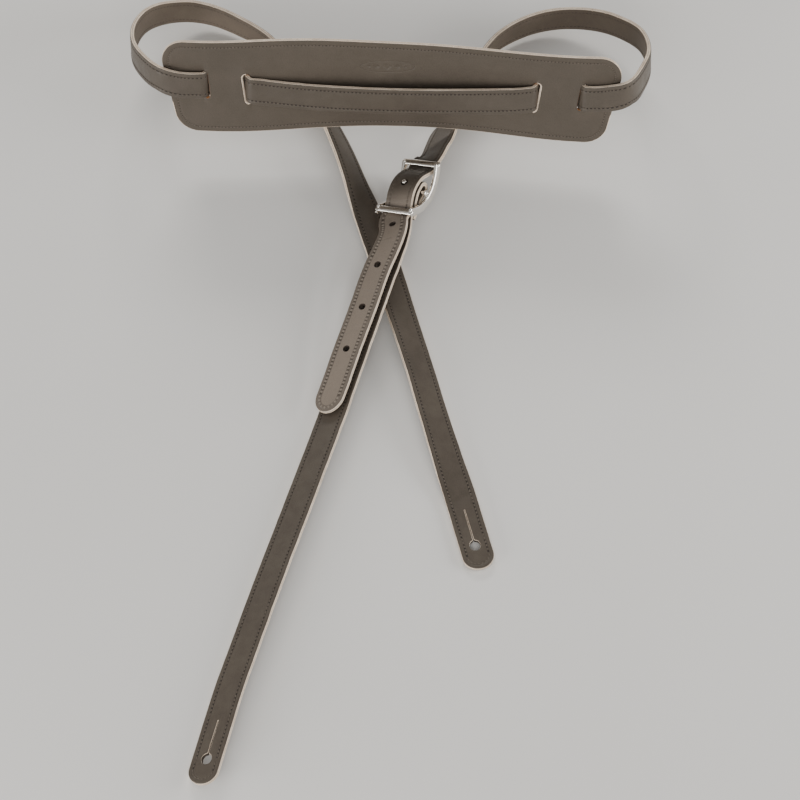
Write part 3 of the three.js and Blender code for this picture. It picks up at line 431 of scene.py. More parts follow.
class Shader:
    """A material with one Principled surface and helpers for its texture nodes."""

    def __init__(self, name):
        self.material = bpy.data.materials.new(name)
        self.material.use_nodes = True
        self.tree = self.material.node_tree
        for node in list(self.tree.nodes):
            if node.type != "OUTPUT_MATERIAL":
                self.tree.nodes.remove(node)
        output = self.tree.nodes[0]
        self.surface = self.node("ShaderNodeBsdfPrincipled")
        self.tree.links.new(self.surface.outputs["BSDF"], output.inputs["Surface"])
        self.coord = self.node("ShaderNodeTexCoord").outputs["Object"]

    def feed(self, socket, value):
        if isinstance(value, bpy.types.NodeSocket):
            self.tree.links.new(value, socket)
        else:
            socket.default_value = (*value, 1) if isinstance(value, tuple) else value

    def node(self, kind, **settings):
        node = self.tree.nodes.new(kind)
        for key, value in settings.items():
            if key in node.inputs:
                self.feed(node.inputs[key], value)
            else:
                setattr(node, key, value)
        return node

    def set(self, name, value):
        self.feed(self.surface.inputs[name], value)

    def noise(self, scale, detail=3.0, rough=0.6, distortion=0.0):
        return self.node("ShaderNodeTexNoise", Vector=self.coord, Scale=scale, Detail=detail,
                         Roughness=rough, Distortion=distortion).outputs["Fac"]

    def ramp(self, value, low, high, interpolation="LINEAR"):
        """low and high are (position, colour) stops."""
        node = self.node("ShaderNodeValToRGB", Fac=value)
        node.color_ramp.interpolation = interpolation
        for stop, (position, colour) in zip(node.color_ramp.elements, (low, high)):
            stop.position = position
            stop.color = (*colour, 1)
        return node.outputs["Color"]

    def mix(self, factor, first, second, blend="MIX"):
        node = self.node("ShaderNodeMix", data_type="RGBA", blend_type=blend)
        for index, value in ((0, factor), (6, first), (7, second)):
            self.feed(node.inputs[index], value)
        return node.outputs[2]

    def maths(self, operation, first, second):
        node = self.node("ShaderNodeMath", operation=operation)
        self.feed(node.inputs[0], first)
        self.feed(node.inputs[1], second)
        return node.outputs[0]

    def weighted_sum(self, first, weight1, second, weight2):
        return self.maths("ADD", self.maths("MULTIPLY", first, weight1),
                          self.maths("MULTIPLY", second, weight2))

    def bump(self, height, **settings):
        return self.node("ShaderNodeBump", Height=height, **settings).outputs["Normal"]


def leather(name, dark, light, rough, pebble, specular, scale=1.0, painted_sheen=None):
    """Mottled grain leather with a fine pebble. Last argument (y0, y1, colour): a painted sheen, paler
    from y0 to y1.
    """
    shader = Shader(name)
    broad = shader.noise(scale=22 * scale)
    wrinkles = shader.noise(scale=160 * scale, detail=4, distortion=0.3)
    fine = shader.noise(scale=1500 * scale)
    voronoi = shader.node("ShaderNodeTexVoronoi", Vector=shader.coord, Scale=1150 * scale,
                          feature="DISTANCE_TO_EDGE")
    cells = shader.ramp(voronoi.outputs["Distance"], (0.0, BLACK), (0.16, WHITE))
    tone = shader.weighted_sum(broad, 0.6, wrinkles, 0.4)
    base = shader.ramp(tone, (0.3, dark), (0.7, light))
    if painted_sheen:
        # Painted sheen: the colour pales from y0 to y1 and stays pale past y1, standing in for light
        # the strap catches
        y0, y1, pale = painted_sheen
        y = shader.node("ShaderNodeSeparateXYZ", Vector=shader.coord).outputs["Y"]
        along = shader.maths("DIVIDE", shader.maths("SUBTRACT", y, y0), y1 - y0)
        ragged = shader.maths("MULTIPLY", shader.maths("SUBTRACT", broad, 0.5), 0.35)
        along = shader.maths("ADD", along, ragged)
        sheen_share = shader.ramp(along, (0.0, BLACK), (1.0, WHITE), "EASE")
        sheen_colour = shader.mix(shader.maths("MULTIPLY", tone, 0.5), pale, base)
        base = shader.mix(sheen_share, base, sheen_colour)
    shader.set("Base Color", shader.mix(0.16, base, cells, blend="MULTIPLY"))
    shader.set("Roughness", shader.ramp(wrinkles, (0.3, grey(rough[0])), (0.75, grey(rough[1]))))
    shader.set("Specular IOR Level", specular)
    wrinkled = shader.bump(wrinkles, Strength=0.35, Distance=0.0006)
    height = shader.weighted_sum(cells, 0.5, fine, 0.6)
    shader.set("Normal", shader.bump(height, Strength=pebble, Distance=0.00012, Normal=wrinkled))
    return shader.material


def raw_edge(name, dark, light, fleck):
    """Cut leather edge: fibrous, with darker flecks."""
    shader = Shader(name)
    fibre = shader.noise(scale=1900, detail=5, rough=0.75)
    base = shader.ramp(shader.noise(scale=90, detail=4, rough=0.65), (0.32, dark), (0.62, light))
    flecks = shader.ramp(fibre, (0.36, grey(0.85)), (0.5, BLACK))
    shader.set("Base Color", shader.mix(flecks, base, fleck))
    shader.set("Roughness", 0.78)
    shader.set("Specular IOR Level", 0.3)
    shader.set("Normal", shader.bump(fibre, Strength=0.6, Distance=0.0002))
    return shader.material


def mottled(name, dark, light, scale, rough):
    """A plain matt surface varying between two tones."""
    shader = Shader(name)
    shader.set("Base Color", shader.ramp(shader.noise(scale), (0.35, dark), (0.7, light)))
    shader.set("Roughness", rough)
    return shader


def plain(name, **look):
    return mottled(name, **look).material


def thread(name, dark, light):
    shader = mottled(name, dark, light, scale=2600, rough=0.62)
    twist = shader.node("ShaderNodeTexWave", Vector=shader.coord, Scale=1100.0, Distortion=1.5,
                        Detail=1.0)
    shader.set("Normal", shader.bump(twist.outputs["Fac"], Strength=0.5, Distance=0.00008))
    return shader.material


def nickel(name):
    shader = Shader(name)
    tone = shader.noise(scale=260, detail=4)
    shader.set("Base Color", shader.ramp(tone, (0.3, (0.84, 0.80, 0.74)), (0.7, (0.94, 0.91, 0.87))))
    shader.set("Metallic", 1.0)
    smears = shader.noise(scale=900, detail=4, rough=0.7)
    shader.set("Roughness", shader.ramp(smears, (0.35, grey(0.10)), (0.75, grey(0.22))))
    dents = shader.noise(scale=500, detail=2, rough=0.5)
    shader.set("Normal", shader.bump(dents, Strength=0.12, Distance=0.0001))
    return shader.material


STRAP_LOOK = dict(dark=(0.063, 0.0495, 0.0375), light=(0.090, 0.073, 0.056), rough=(0.36, 0.52),
                  pebble=0.45, specular=0.5)
M_GRAIN = leather("strap_grain_leather", **STRAP_LOOK)
# Painted sheen: from the stud along the free tip the grain is painted paler, less so on the rims beside
# the tip's seam
M_PAINTED_SHEEN = leather("strap_grain_painted_sheen", **STRAP_LOOK, painted_sheen=(0.127, 0.108, (0.252, 0.207, 0.168)))
M_PAINTED_SHEEN_RIM = leather("strap_rim_painted_sheen", **STRAP_LOOK, painted_sheen=(0.127, 0.108, (0.160, 0.131, 0.106)))
M_PAD = leather("pad_grain_leather", dark=(0.071, 0.057, 0.043), light=(0.093, 0.075, 0.058),
                rough=(0.50, 0.62), pebble=0.5, specular=0.42, scale=0.9)
M_LINING = leather("inner_face_leather", dark=(0.150, 0.120, 0.092), light=(0.205, 0.166, 0.130),
                   rough=(0.55, 0.68), pebble=0.35, specular=0.35, scale=1.3)
M_EDGE = raw_edge("cut_edge", dark=(0.66, 0.54, 0.43), light=(0.88, 0.76, 0.63),
                  fleck=(0.46, 0.36, 0.27))
M_GLUE = plain("glue_line", dark=(0.14, 0.105, 0.08), light=(0.26, 0.20, 0.15), scale=900, rough=0.7)
M_TAN = raw_edge("slot_wall_tan", dark=(0.42, 0.20, 0.09), light=(0.58, 0.30, 0.14),
                 fleck=(0.25, 0.11, 0.05))
# Painted shade: near-black walls inside the punched holes
M_BORE_SHADE = plain("punched_wall_painted_shade", dark=(0.035, 0.026, 0.02), light=(0.07, 0.052, 0.04),
               scale=1200, rough=0.8)
M_THREAD = thread("waxed_thread", dark=(0.080, 0.063, 0.048), light=(0.130, 0.105, 0.082))
# Painted shade: near-black colour in the needle holes at each stitch's ends
M_PIT_SHADE = plain("needle_hole_painted_shade", dark=(0.020, 0.015, 0.012), light=(0.042, 0.033, 0.026),
              scale=1500, rough=0.85)
M_SEAM = plain("pressed_seam_leather", dark=(0.060, 0.047, 0.036), light=(0.095, 0.076, 0.060),
               scale=900, rough=0.7)
# Paler thread for the broad stitches on the free tip's grain side
M_THREAD_PALE = thread("waxed_thread_pale", dark=(0.175, 0.146, 0.119),
                       light=(0.255, 0.214, 0.176))
M_NICKEL = nickel("polished_nickel")

# Slot numbers on the straps; slot PIT holds the needle holes' painted shade, or the pressed seam on the
# pieces with the painted sheen
GRAIN, EDGE, GLUE, LINING, BORE, PIT, RIM = range(7)
STRAP_MATERIALS = [M_GRAIN, M_EDGE, M_GLUE, M_LINING, M_BORE_SHADE, M_PIT_SHADE]
SHEEN_MATERIALS = [M_PAINTED_SHEEN] + STRAP_MATERIALS[1:5] + [M_SEAM, M_PAINTED_SHEEN_RIM]


# ------------------------------------------------------------------ meshes
class Mesh:
    """Gathers points, faces and material numbers, in millimetres."""

    def __init__(self):
        self.points, self.faces, self.materials, self.count = [], [], [], 0

    def add(self, points):
        self.points.append(points)
        self.count += len(points)
        return np.arange(self.count - len(points), self.count)

    def face(self, corners, material=0):
        self.faces.append(tuple(int(c) for c in corners))
        self.materials.append(material)

    def shape(self, points, faces, flip=False):
        first = int(self.add(points)[0])
        for corners in faces:
            self.face([first + c for c in (corners[::-1] if flip else corners)])

    def object(self, name, materials):
        mesh = bpy.data.meshes.new(name)
        points = (np.concatenate(self.points) + OFFSET) * MM
        mesh.from_pydata(points.tolist(), [], self.faces)
        for material in materials:
            mesh.materials.append(material)
        mesh.polygons.foreach_set("material_index", np.asarray(self.materials, np.int32))
        mesh.polygons.foreach_set("use_smooth", np.ones(len(self.faces), bool))
        mesh.validate()
        mesh.update()
        made = bpy.data.objects.new(name, mesh)
        bpy.context.scene.collection.objects.link(made)
        return made


def tube_faces(rings, sides, first=0):
    """Closed tube over rings of points; first is the corner each side face starts from."""
    faces = []
    for i in range(rings - 1):
        low, high = i * sides, (i + 1) * sides
        for k in range(sides):
            k2 = (k + 1) % sides
            quad = (low + k, low + k2, high + k2, high + k)
            faces.append(quad[first:] + quad[:first])
    faces.append(tuple(range(sides))[::-1])
    faces.append(tuple(range((rings - 1) * sides, rings * sides)))
    return faces


# ------------------------------------------------------------------ strap ribbon
def grain_height(w):
    """Rolled rim, two creased lines, sunk stitch row, low ridge by it, slight crown."""
    edge = HALF_WIDTH - np.abs(w)
    height = HALF_THICK - 0.55 * fade(edge, 0.5) ** 2.2
    height -= 0.08 * bell(edge - 2.33, 0.17) + 0.08 * bell(edge - 3.68, 0.17)
    height -= 0.10 * bell(edge - STITCH_INSET, 0.55)
    height += 0.05 * bell(edge - 1.4, 0.6)
    height += 0.10 * np.clip(1 - (np.abs(w) / 5.4) ** 2, 0, 1) - 0.05
    return height


def lining_height(w):
    edge = HALF_WIDTH - np.abs(w)
    return -HALF_THICK + 0.5 * fade(edge, 0.4) ** 2 + 0.14 * bell(edge - STITCH_INSET, 0.3)


# The strap's closed section: grain face, +w edge, lining face, -w edge
grain_w = np.array([-w for w in GRAIN_STATIONS[:0:-1]] + GRAIN_STATIONS)
lining_w = np.array(LINING_STATIONS[::-1] + [-w for w in LINING_STATIONS[1:]])
wall_w = np.array([HALF_WIDTH - inset_ for inset_, _ in WALL_STATIONS])
wall_n = np.array([height for _, height in WALL_STATIONS])
SECTION_W = np.concatenate([grain_w, wall_w, lining_w, -wall_w[::-1]])
SECTION_N = np.concatenate([grain_height(grain_w), wall_n, lining_height(lining_w), wall_n[::-1]])
SECTION_FACE = np.repeat(["grain", "wall", "lining", "wall"],
                         [len(grain_w), len(wall_w), len(lining_w), len(wall_w)])
SECTION_COUNT = len(SECTION_W)
GRAIN_CENTRE = len(grain_w) // 2


def band_material(k, broad_seam):
    """Material between section stations k and k + 1."""
    pair = [k, (k + 1) % SECTION_COUNT]
    first, second = SECTION_FACE[pair]
    if first != second:
        return EDGE
    if first == "wall":
        return GLUE if np.abs(SECTION_N[pair]).min() < 0.01 else EDGE
    out = np.abs(SECTION_W[pair])
    if HALF_WIDTH - out.max() < 0.01:
        return EDGE
    if first == "lining":
        return LINING
    return RIM if broad_seam and out.min() > RIM_FROM else GRAIN


def pit_distance(s):
    """Distance to the nearest needle hole along a strap."""
    return np.abs(np.mod(s / STITCH + 0.5, 1) - 0.5) * STITCH


def onto_circle(x, w, radius):
    scale = radius / np.hypot(x, w)
    return x * scale, w * scale


def onto_keyhole(x, w):
    """Moves the patch outline onto a button hole with a slit towards +x."""
    slit_angle = math.asin(SLIT_HALF_START / BUTTON_HOLE_R)
    half = [(BUTTON_HOLE_R * math.cos(t), BUTTON_HOLE_R * math.sin(t))
            for t in np.linspace(math.radians(45), slit_angle, 8)]
    slit_start = half[-1][0]
    for f in np.linspace(0.04, 1, 24):
        half.append((slit_start + (SLIT_LENGTH - slit_start) * f,
                     SLIT_HALF_START - (SLIT_HALF_START - SLIT_HALF_END) * f))
    half = np.array(half)
    run = run_length(half)
    at = (x - KEY_PATCH) / (KEY_PATCH_END - KEY_PATCH) * run[-1]
    round_x, round_w = onto_circle(x, w, BUTTON_HOLE_R)
    on_round, on_end = x <= KEY_PATCH + 1e-6, x > KEY_PATCH_END - 0.01
    end_x = SLIT_LENGTH + 0.25 * (1 - np.abs(w) / KEY_PATCH)
    end_w = SLIT_HALF_END * w / KEY_PATCH
    return (np.select([on_round, on_end], [round_x, end_x], np.interp(at, run, half[:, 0])),
            np.select([on_round, on_end], [round_w, end_w],
                      np.interp(at, run, half[:, 1]) * np.sign(w)))


class Ribbon(Mesh):
    """A length of strap. rounds: hole places. keyholes: (place, slit direction).

    creases: (place, depth, width, slant). nicks: (place, depth) in the +w edge.
    """

    def __init__(self, path, start, end, seed, creases, cap_start=0.0, cap_end=0.0, rounds=(),
                 keyholes=(), nicks=(), seam_half=0.45):
        super().__init__()
        self.path, self.seam_half, self.nicks = path, seam_half, nicks
        self.creases = [c for c in creases if start < c[0] < end]
        self.right_cut, self.left_cut = wobble(seed * 10), wobble(seed * 10 + 1)
        self.slow = wobble(seed * 10 + 5, 26.0)
        self.rows = self.row_places(start + cap_start, end - cap_end, rounds, keyholes)
        self.bands = [band_material(k, seam_half > 1) for k in range(SECTION_COUNT)]
        grid = self.grid()
        keep = np.ones((len(self.rows) - 1, SECTION_COUNT), bool)
        for s in rounds:
            self.hole(grid, keep, s, 1, ROUND_PATCH, ROUND_PATCH,
                      lambda x, w: onto_circle(x, w, HOLE_R))
        for s, away in keyholes:
            self.hole(grid, keep, s, away, KEY_PATCH, KEY_PATCH_END, onto_keyhole)
        self.skin(grid, keep)
        self.cap(grid[0], self.rows[0], cap_start, -1)
        self.cap(grid[-1], self.rows[-1], cap_end, 1)

    def row_places(self, first, last, rounds, keyholes):
        fixed = [first, last]
        fixed += [s + d for s in rounds for d in ROUND_ROWS]
        fixed += [s + away * d for s, away in keyholes for d in KEY_ROWS]
        third = STITCH / 3
        rows = list(fixed)
        for k in range(math.ceil((first + 0.15) / third), math.floor((last - 0.15) / third) + 1):
            gap = min(abs(k * third - s) for s in fixed)
            if gap > (0.12 if k % 3 == 0 else 0.3):
                rows.append(k * third)
        rows.sort()
        # finer rows where the strap bends hard, is creased or is nicked
        extra = []
        along = self.path.at(rows)[1]
        turn = np.degrees(np.arccos(np.clip(np.sum(along[1:] * along[:-1], axis=1), -1, 1)))
        for low, high, angle in zip(rows, rows[1:], turn):
            middle = (low + high) / 2
            near = (any(abs(middle - c[0]) < 4 for c in self.creases)
                    or any(abs(middle - c[0]) < 1.5 for c in self.nicks))
            if high - low > 0.5 and (angle > 5 or near):
                count = 2 if (angle > 10 or near) else 1
                extra += [low + (high - low) * (j + 1) / (count + 1) for j in range(count)]
        return np.array(sorted(rows + extra))

    def relief(self, s, w):
        """Creases, slow unevenness and needle holes on the grain side."""
        height = np.zeros(s.shape)
        for place, depth, width, slant in self.creases:
            x = s - place + slant * w
            fold = bell(x + 0.5 * np.sin(w * 0.9 + place), width)
            height -= depth * fold * (0.65 + 0.35 * np.cos(w * 0.5 + place))
            height += 0.45 * depth * bell(x - 1.6 * width, 1.6 * width)
        height += 0.035 * self.slow(s) * np.cos(w * 0.22)
        pit = fade(pit_distance(s), 0.5) * fade(np.abs(np.abs(w) - STITCH_ROW), 0.5)
        return height - 0.34 * pit

    def spread(self, s, w):
        """Small unevenness of the cut edge."""
        near_edge = np.clip((np.abs(w) - 8.3) / 1.2, 0, 1)
        out = np.where(w > 0, self.right_cut(s), self.left_cut(s)) * 0.055
        for place, depth in self.nicks:
            out = out - np.where(w > 0, depth * bell(s - place, 0.35), 0)
        return w + np.sign(w) * out * near_edge

    def place(self, s, w, n):
        return self.add(self.path.point(s, self.spread(s, w), n))

    def strip(self, first, second, material, flip=False, closed=False):
        """Faces between two lines of points."""
        count = len(first)
        for i in range(count if closed else count - 1):
            j = (i + 1) % count
            corners = tuple(dict.fromkeys((first[i], first[j], second[j], second[i])))
            if len(corners) > 2:
                self.face(corners[::-1] if flip else corners, material)

    def grid(self):
        shape = (len(self.rows), SECTION_COUNT)
        s = np.broadcast_to(self.rows[:, None], shape)
        w = np.broadcast_to(SECTION_W, shape)
        n = SECTION_N + np.where(SECTION_FACE == "grain", self.relief(s, w), 0)
        return self.place(s.ravel(), w.ravel(), n.ravel()).reshape(shape)

    def hole(self, grid, keep, centre, away, half, far, outline):
        """Opens a patch of the grid and lines it; outline maps its border onto the hole."""
        ends = sorted((centre - away * half, centre + away * far))
        row0, row1 = (int(np.argmin(np.abs(self.rows - s))) for s in ends)
        borders = []
        for face, order in (("grain", 1), ("lining", -1)):
            inside = (SECTION_FACE == face) & (np.abs(SECTION_W) <= half + 1e-6)
            columns = np.nonzero(inside)[0]
            keep[row0:row1, columns[0]:columns[-1]] = False
            columns = columns[::order]
            border = [(r, columns[0]) for r in range(row0, row1)]
            border += [(row1, k) for k in columns[:-1]]
            border += [(r, columns[-1]) for r in range(row1, row0, -1)]
            border += [(row0, k) for k in columns[:0:-1]]
            borders.append(np.array(border).T)
        (border_rows, border_columns), lining_border = borders
        border_s, border_w = self.rows[border_rows], SECTION_W[border_columns]
        hole_x, hole_w = outline(away * (border_s - centre), border_w)
        hole_s = centre + away * hole_x
        # the walls of each hole, and the grain-side lip of a round hole, take slot BORE: painted shade
        lip = EDGE if half > 4 else BORE
        # (share of the way to the hole, height, material)
        rings = [
            (0.4, HALF_THICK, GRAIN), (0.7, HALF_THICK, GRAIN), (0.86, HALF_THICK - 0.01, GRAIN),
            (0.95, HALF_THICK - 0.09, GRAIN), (1.0, HALF_THICK - 0.32, lip),
            (1.02, 0.45, BORE), (1.02, -0.45, BORE), (1.0, -HALF_THICK + 0.3, BORE),
            (0.95, -HALF_THICK + 0.08, LINING), (0.85, -HALF_THICK, LINING),
            (0.5, -HALF_THICK, LINING),
        ]
        last = grid[border_rows, border_columns]
        for share, height, material in rings:
            s = border_s + (hole_s - border_s) * share
            w = border_w + (hole_w - border_w) * share
            n = np.full_like(s, height)
            if height > 0.5:
                n += (grain_height(w) - HALF_THICK) * (1 - share)
                n += self.relief(s, w) * (1 - share * 0.5)
            ring = self.place(s, w, n)
            self.strip(last, ring, material, closed=True)
            last = ring
        self.strip(last, grid[tuple(lining_border)], LINING, closed=True)

    def skin(self, grid, keep):
        # faces at the needle holes in the stitch rows take slot PIT: painted shade, or the pressed seam
        # on the pieces with the painted sheen
        at_pit = pit_distance(self.rows) < 0.05
        at_pit = at_pit[:-1] | at_pit[1:]
        for k in range(SECTION_COUNT):
            k2 = (k + 1) % SECTION_COUNT
            middle = (abs(SECTION_W[k]) + abs(SECTION_W[k2])) - 2 * STITCH_ROW
            in_seam = (SECTION_FACE[k] == SECTION_FACE[k2] == "grain"
                       and abs(middle) < 2 * self.seam_half)
            for r in np.nonzero(keep[:, k])[0]:
                corners = (grid[r, k], grid[r + 1, k], grid[r + 1, k2], grid[r, k2])
                self.face(corners, PIT if in_seam and at_pit[r] else self.bands[k])

    def cap(self, row, end, length, toward):
        """Rounded end, built from arcs joining matching -w and +w stations."""
        if length <= 0:
            return
        angles = np.linspace(-math.pi / 2, math.pi / 2, CAP_STEPS + 1)[1:-1]
        last = None
        for j in range(SECTION_COUNT // 2 + 1):
            right = GRAIN_CENTRE + j
            w = SECTION_W[right]
            if abs(w) < 1e-6:
                line = np.full(CAP_STEPS + 1, row[right])
            else:
                edge = HALF_WIDTH - w
                reach = length - edge if edge < 4 else (length - 4) * w / (HALF_WIDTH - 4)
                s = end + toward * reach * np.cos(angles)
                arc = self.place(s, w * np.sin(angles), np.full_like(s, SECTION_N[right]))
                left = (GRAIN_CENTRE - j) % SECTION_COUNT
                line = np.concatenate([[row[left]], arc, [row[right]]])
            if last is not None:
                self.strip(last, line, self.bands[right - 1], flip=toward > 0)
            last = line


# ------------------------------------------------------------------ stitches
def stitch_shape(length, width, height):
    """One closed stitch laid along x."""
    sides = 8
    # (place as a share of half the length, thickness as a share of the full)
    rings = [(-0.97, 0.32), (-0.8, 0.68), (-0.45, 0.95), (0.0, 1.0),
             (0.45, 0.95), (0.8, 0.68), (0.97, 0.32)]
    points = []
    for place, size in rings:
        for k in range(sides):
            angle = 2 * math.pi * k / sides
            points.append((place * length / 2, width / 2 * size * math.cos(angle),
                           height / 2 * size * math.sin(angle)))
    return np.array(points), tube_faces(len(rings), sides, first=1)


def stitches(name, places, length=1.72, width=0.7, height=0.46, material=M_THREAD):
    """places: (centre, along, across, out); each stitch is slightly slanted."""
    shape, faces = stitch_shape(length, width, height)
    mesh = Mesh()
    for i, (centre, along, across, out) in enumerate(places):
        slant = 0.10 + 0.05 * math.sin(i * 1.7)
        axis = along * math.cos(slant) + across * math.sin(slant)
        side = np.cross(out, axis)
        mesh.shape(centre + shape[:, :1] * axis + shape[:, 1:2] * side + shape[:, 2:] * out, faces)
    return mesh.object(name, [material])


def stitch_pair(centre, along, out, front_lift, back_lift, across=None):
    """A stitch place on each face."""
    pair = []
    for normal, lift in ((out, front_lift), (-out, back_lift)):
        side = np.cross(normal, along) if across is None else across
        pair.append((centre + normal * lift, along, side, normal))
    return pair


def strap_stitches(path, start, end, cap_start=0.0, cap_end=0.0):
    """Both rows, grain and lining places by turns, then round any rounded end."""
    first, last = start + cap_start, end - cap_end
    places = []
    for k in range(math.ceil((first - 0.2) / STITCH), math.floor((last + 0.2) / STITCH)):
        point, along, across, out = (v[0] for v in path.at((k + 0.5) * STITCH))
        for side in (-1, 1):
            places += stitch_pair(point + across * side * STITCH_ROW, along, out,
                                  GRAIN_LIFT, LINING_LIFT, across * side)
    for cap, centre, toward in ((cap_start, first, -1), (cap_end, last, 1)):
        if cap <= 0:
            continue
        reach = cap - STITCH_INSET
        angles = np.linspace(-math.pi / 2, math.pi / 2, 60)
        run = run_length(np.stack([reach * np.cos(angles), STITCH_ROW * np.sin(angles)], 1))
        count = max(3, round(run[-1] / STITCH))
        for k in range(count):
            angle = np.interp((k + 0.5) / count * run[-1], run, angles)
            s = centre + toward * reach * math.cos(angle)
            point, along, across, out = (v[0] for v in path.at(s))
            round_end = unit(-along * toward * reach * math.sin(angle)
                             + across * STITCH_ROW * math.cos(angle))
            places += stitch_pair(point + across * STITCH_ROW * math.sin(angle), round_end, out,
                                  GRAIN_LIFT, LINING_LIFT)
    return places


# ------------------------------------------------------------------ strap pieces
# Where neighbouring pieces meet
RIGHT_JOIN, DROP_JOIN = 35 * STITCH, round((LEFT_DROP_S - 52) / STITCH) * STITCH
TIP_JOIN, SHORT_JOIN = STUD_S + 19.0, round((LEFT_TAIL_S + 88) / STITCH) * STITCH

# Creases: (place, depth, width, slant)
LONG_CREASES = [
    (STUD_S + 44.4, 0.22, 0.7, 0.25), (STUD_S + 82.0, 0.2, 0.7, -0.3),
    (STUD_S + 47.5, 0.08, 0.6, 0.1), (STUD_S + 107, 0.08, 0.8, 0.2),
    (STUD_S - 9.0, 0.10, 0.8, 0.0), (STUD_S + 10.0, 0.10, 0.8, 0.1),
    (RIGHT_TAB_S + 1.0, 0.06, 1.0, 0.2), (150.0, 0.06, 1.2, -0.2),
]
SHORT_CREASES = [(LEFT_TAIL_S + 30, 0.06, 1.0, 0.2), (LEFT_TAIL_S + 118, 0.05, 1.2, -0.15)]
# Nicks: (place, depth)
LONG_NICKS = [(445.0, 0.55), (997.0, 0.6), (986.8, 0.5), (976.0, 0.55), (933.0, 0.5)]
LONG_STRAP = dict(path=LONG, seed=1, creases=LONG_CREASES)
SHORT_STRAP = dict(path=SHORT_PATH, seed=2, creases=SHORT_CREASES)


def strap_piece(name, strap, start, end, parts, hinge, leathers, threads=(),
                materials=STRAP_MATERIALS, cap_start=0.0, cap_end=0.0, seam_half=0.45, **shape):
    """One mesh of strap with its stitches.

    hinge: (place, half length); not used. leathers: CAD parts whose two plies it replaces.
    """
    path = strap["path"]
    place, half = hinge
    hinge_ends = [tuple((path.point([s])[0] + OFFSET) * MM) for s in (place - half, place + half)]

    def fit(made, replaced):
        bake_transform(made)
        if replaced:
            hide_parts(*replaced)

    ribbon = Ribbon(start=start, end=end, cap_start=cap_start, cap_end=cap_end,
                    seam_half=seam_half, **strap, **shape)
    plies = [f"{part}_{ply}" for part in leathers for ply in ("grain", "lining")]
    fit(ribbon.object(name, materials), plies)
    places = strap_stitches(path, start, end, cap_start, cap_end)
    if seam_half == BROAD_SEAM:
        # fine stitches on the lining side, broad ones on the grain side
        fit(stitches(name + "_stitches_lining", places[1::2]), ())
        sewn = stitches(name + "_stitches", places[0::2], length=1.45, width=2.0, height=0.5,
                        material=M_THREAD_PALE)
    else:
        sewn = stitches(name + "_stitches", places)
    fit(sewn, threads)


strap_piece("strap_right_end", LONG_STRAP, 0, RIGHT_JOIN,
            parts=("right_tab", "right_tail"), hinge=(RIGHT_TAB_S, 7.0),
            leathers=["right_tab"], threads=["right_tab_thread"],
            cap_start=END_ROUND, keyholes=[(BUTTON_FROM_END, 1)])
strap_piece("strap_through_pad", LONG_STRAP, RIGHT_JOIN, DROP_JOIN,
            parts=("right_tail", "strap_middle"), hinge=(RIGHT_TAIL_S, 14.0),
            leathers=["right_tail", "strap_middle"],
            threads=["right_tail_thread_inner", "right_tail_thread_outer",
                     "strap_middle_thread_upper", "strap_middle_thread_lower"],
            nicks=LONG_NICKS)
strap_piece("strap_at_buckle", LONG_STRAP, DROP_JOIN, TIP_JOIN,
            parts=("strap_middle", "buckled_length"), hinge=(LEFT_DROP_S, 8.0),
            leathers=["buckled_length"], materials=SHEEN_MATERIALS, rounds=[STUD_S])
strap_piece("strap_tip", LONG_STRAP, TIP_JOIN, LONG.length,
            parts=("buckled_length", "free_tip"), hinge=(TIP_S, 6.0),
            leathers=["free_tip"], threads=["free_tip_thread"], materials=SHEEN_MATERIALS,
            seam_half=BROAD_SEAM, cap_end=TIP_ROUND, rounds=[STUD_S + d for d in HOLE_PITCH])
strap_piece("short_strap_run", SHORT_STRAP, 0, SHORT_JOIN,
            parts=("short_strap", "left_tail"), hinge=(LEFT_TAIL_S, 14.0),
            leathers=["short_strap", "left_tail"],
            threads=["short_strap_thread_inner", "short_strap_thread_outer",
                     "left_tail_thread_inner", "left_tail_thread_outer"])
strap_piece("short_strap_end", SHORT_STRAP, SHORT_JOIN, SHORT_END_S,
            parts=("left_tail", "left_tab"), hinge=(LEFT_TAB_S, 7.0),
            leathers=["left_tab"], threads=["left_tab_thread"],
            cap_end=END_ROUND, keyholes=[(SHORT_END_S - BUTTON_FROM_END, -1)])


# ------------------------------------------------------------------ pad
PAD_MATERIALS = [M_PAD, M_EDGE, M_LINING, M_TAN, M_GLUE, M_PIT_SHADE]
PAD_FRONT, PAD_EDGE, PAD_BACK, PAD_TAN, PAD_GLUE, PAD_PIT = range(6)


def pad_outline():
    """Counter-clockwise outline with a fixed number of points per stitch."""
    corners = filleted(
        [[0, 0], [PAD_HALF_BOTTOM, 0], [PAD_HALF_TOP, PAD_HEIGHT], [-PAD_HALF_TOP, PAD_HEIGHT],
         [-PAD_HALF_BOTTOM, 0], [0, 0]],
        [0, 15, 14, 14, 15, 0], step=0.05)
    loop = []
    for (a0, b0), (a1, b1) in zip(corners, corners[1:]):
        count = max(1, int(math.hypot(a1 - a0, b1 - b0)))
        for k in range(count):
            loop.append((a0 + (a1 - a0) * k / count, b0 + (b1 - b0) * k / count))
    loop = np.array(loop)
    share = loop[:, 1] / PAD_HEIGHT
    loop[:, 1] = (1 - share) * pad_bottom(loop[:, 0]) + share * pad_top(loop[:, 0])
    loop = np.vstack([loop, loop[:1]])
    run = run_length(loop)
    count = int(round(run[-1] / PAD_STITCH)) * STITCH_POINTS
    at = np.linspace(0, run[-1], count, endpoint=False)
    return np.stack([np.interp(at, run, loop[:, 0]), np.interp(at, run, loop[:, 1])], 1)


def inward(loop):
    along = unit(np.roll(loop, -1, axis=0) - np.roll(loop, 1, axis=0))
    return np.stack([-along[:, 1], along[:, 0]], 1)


def inset(loop, distance):
    return loop + inward(loop) * distance


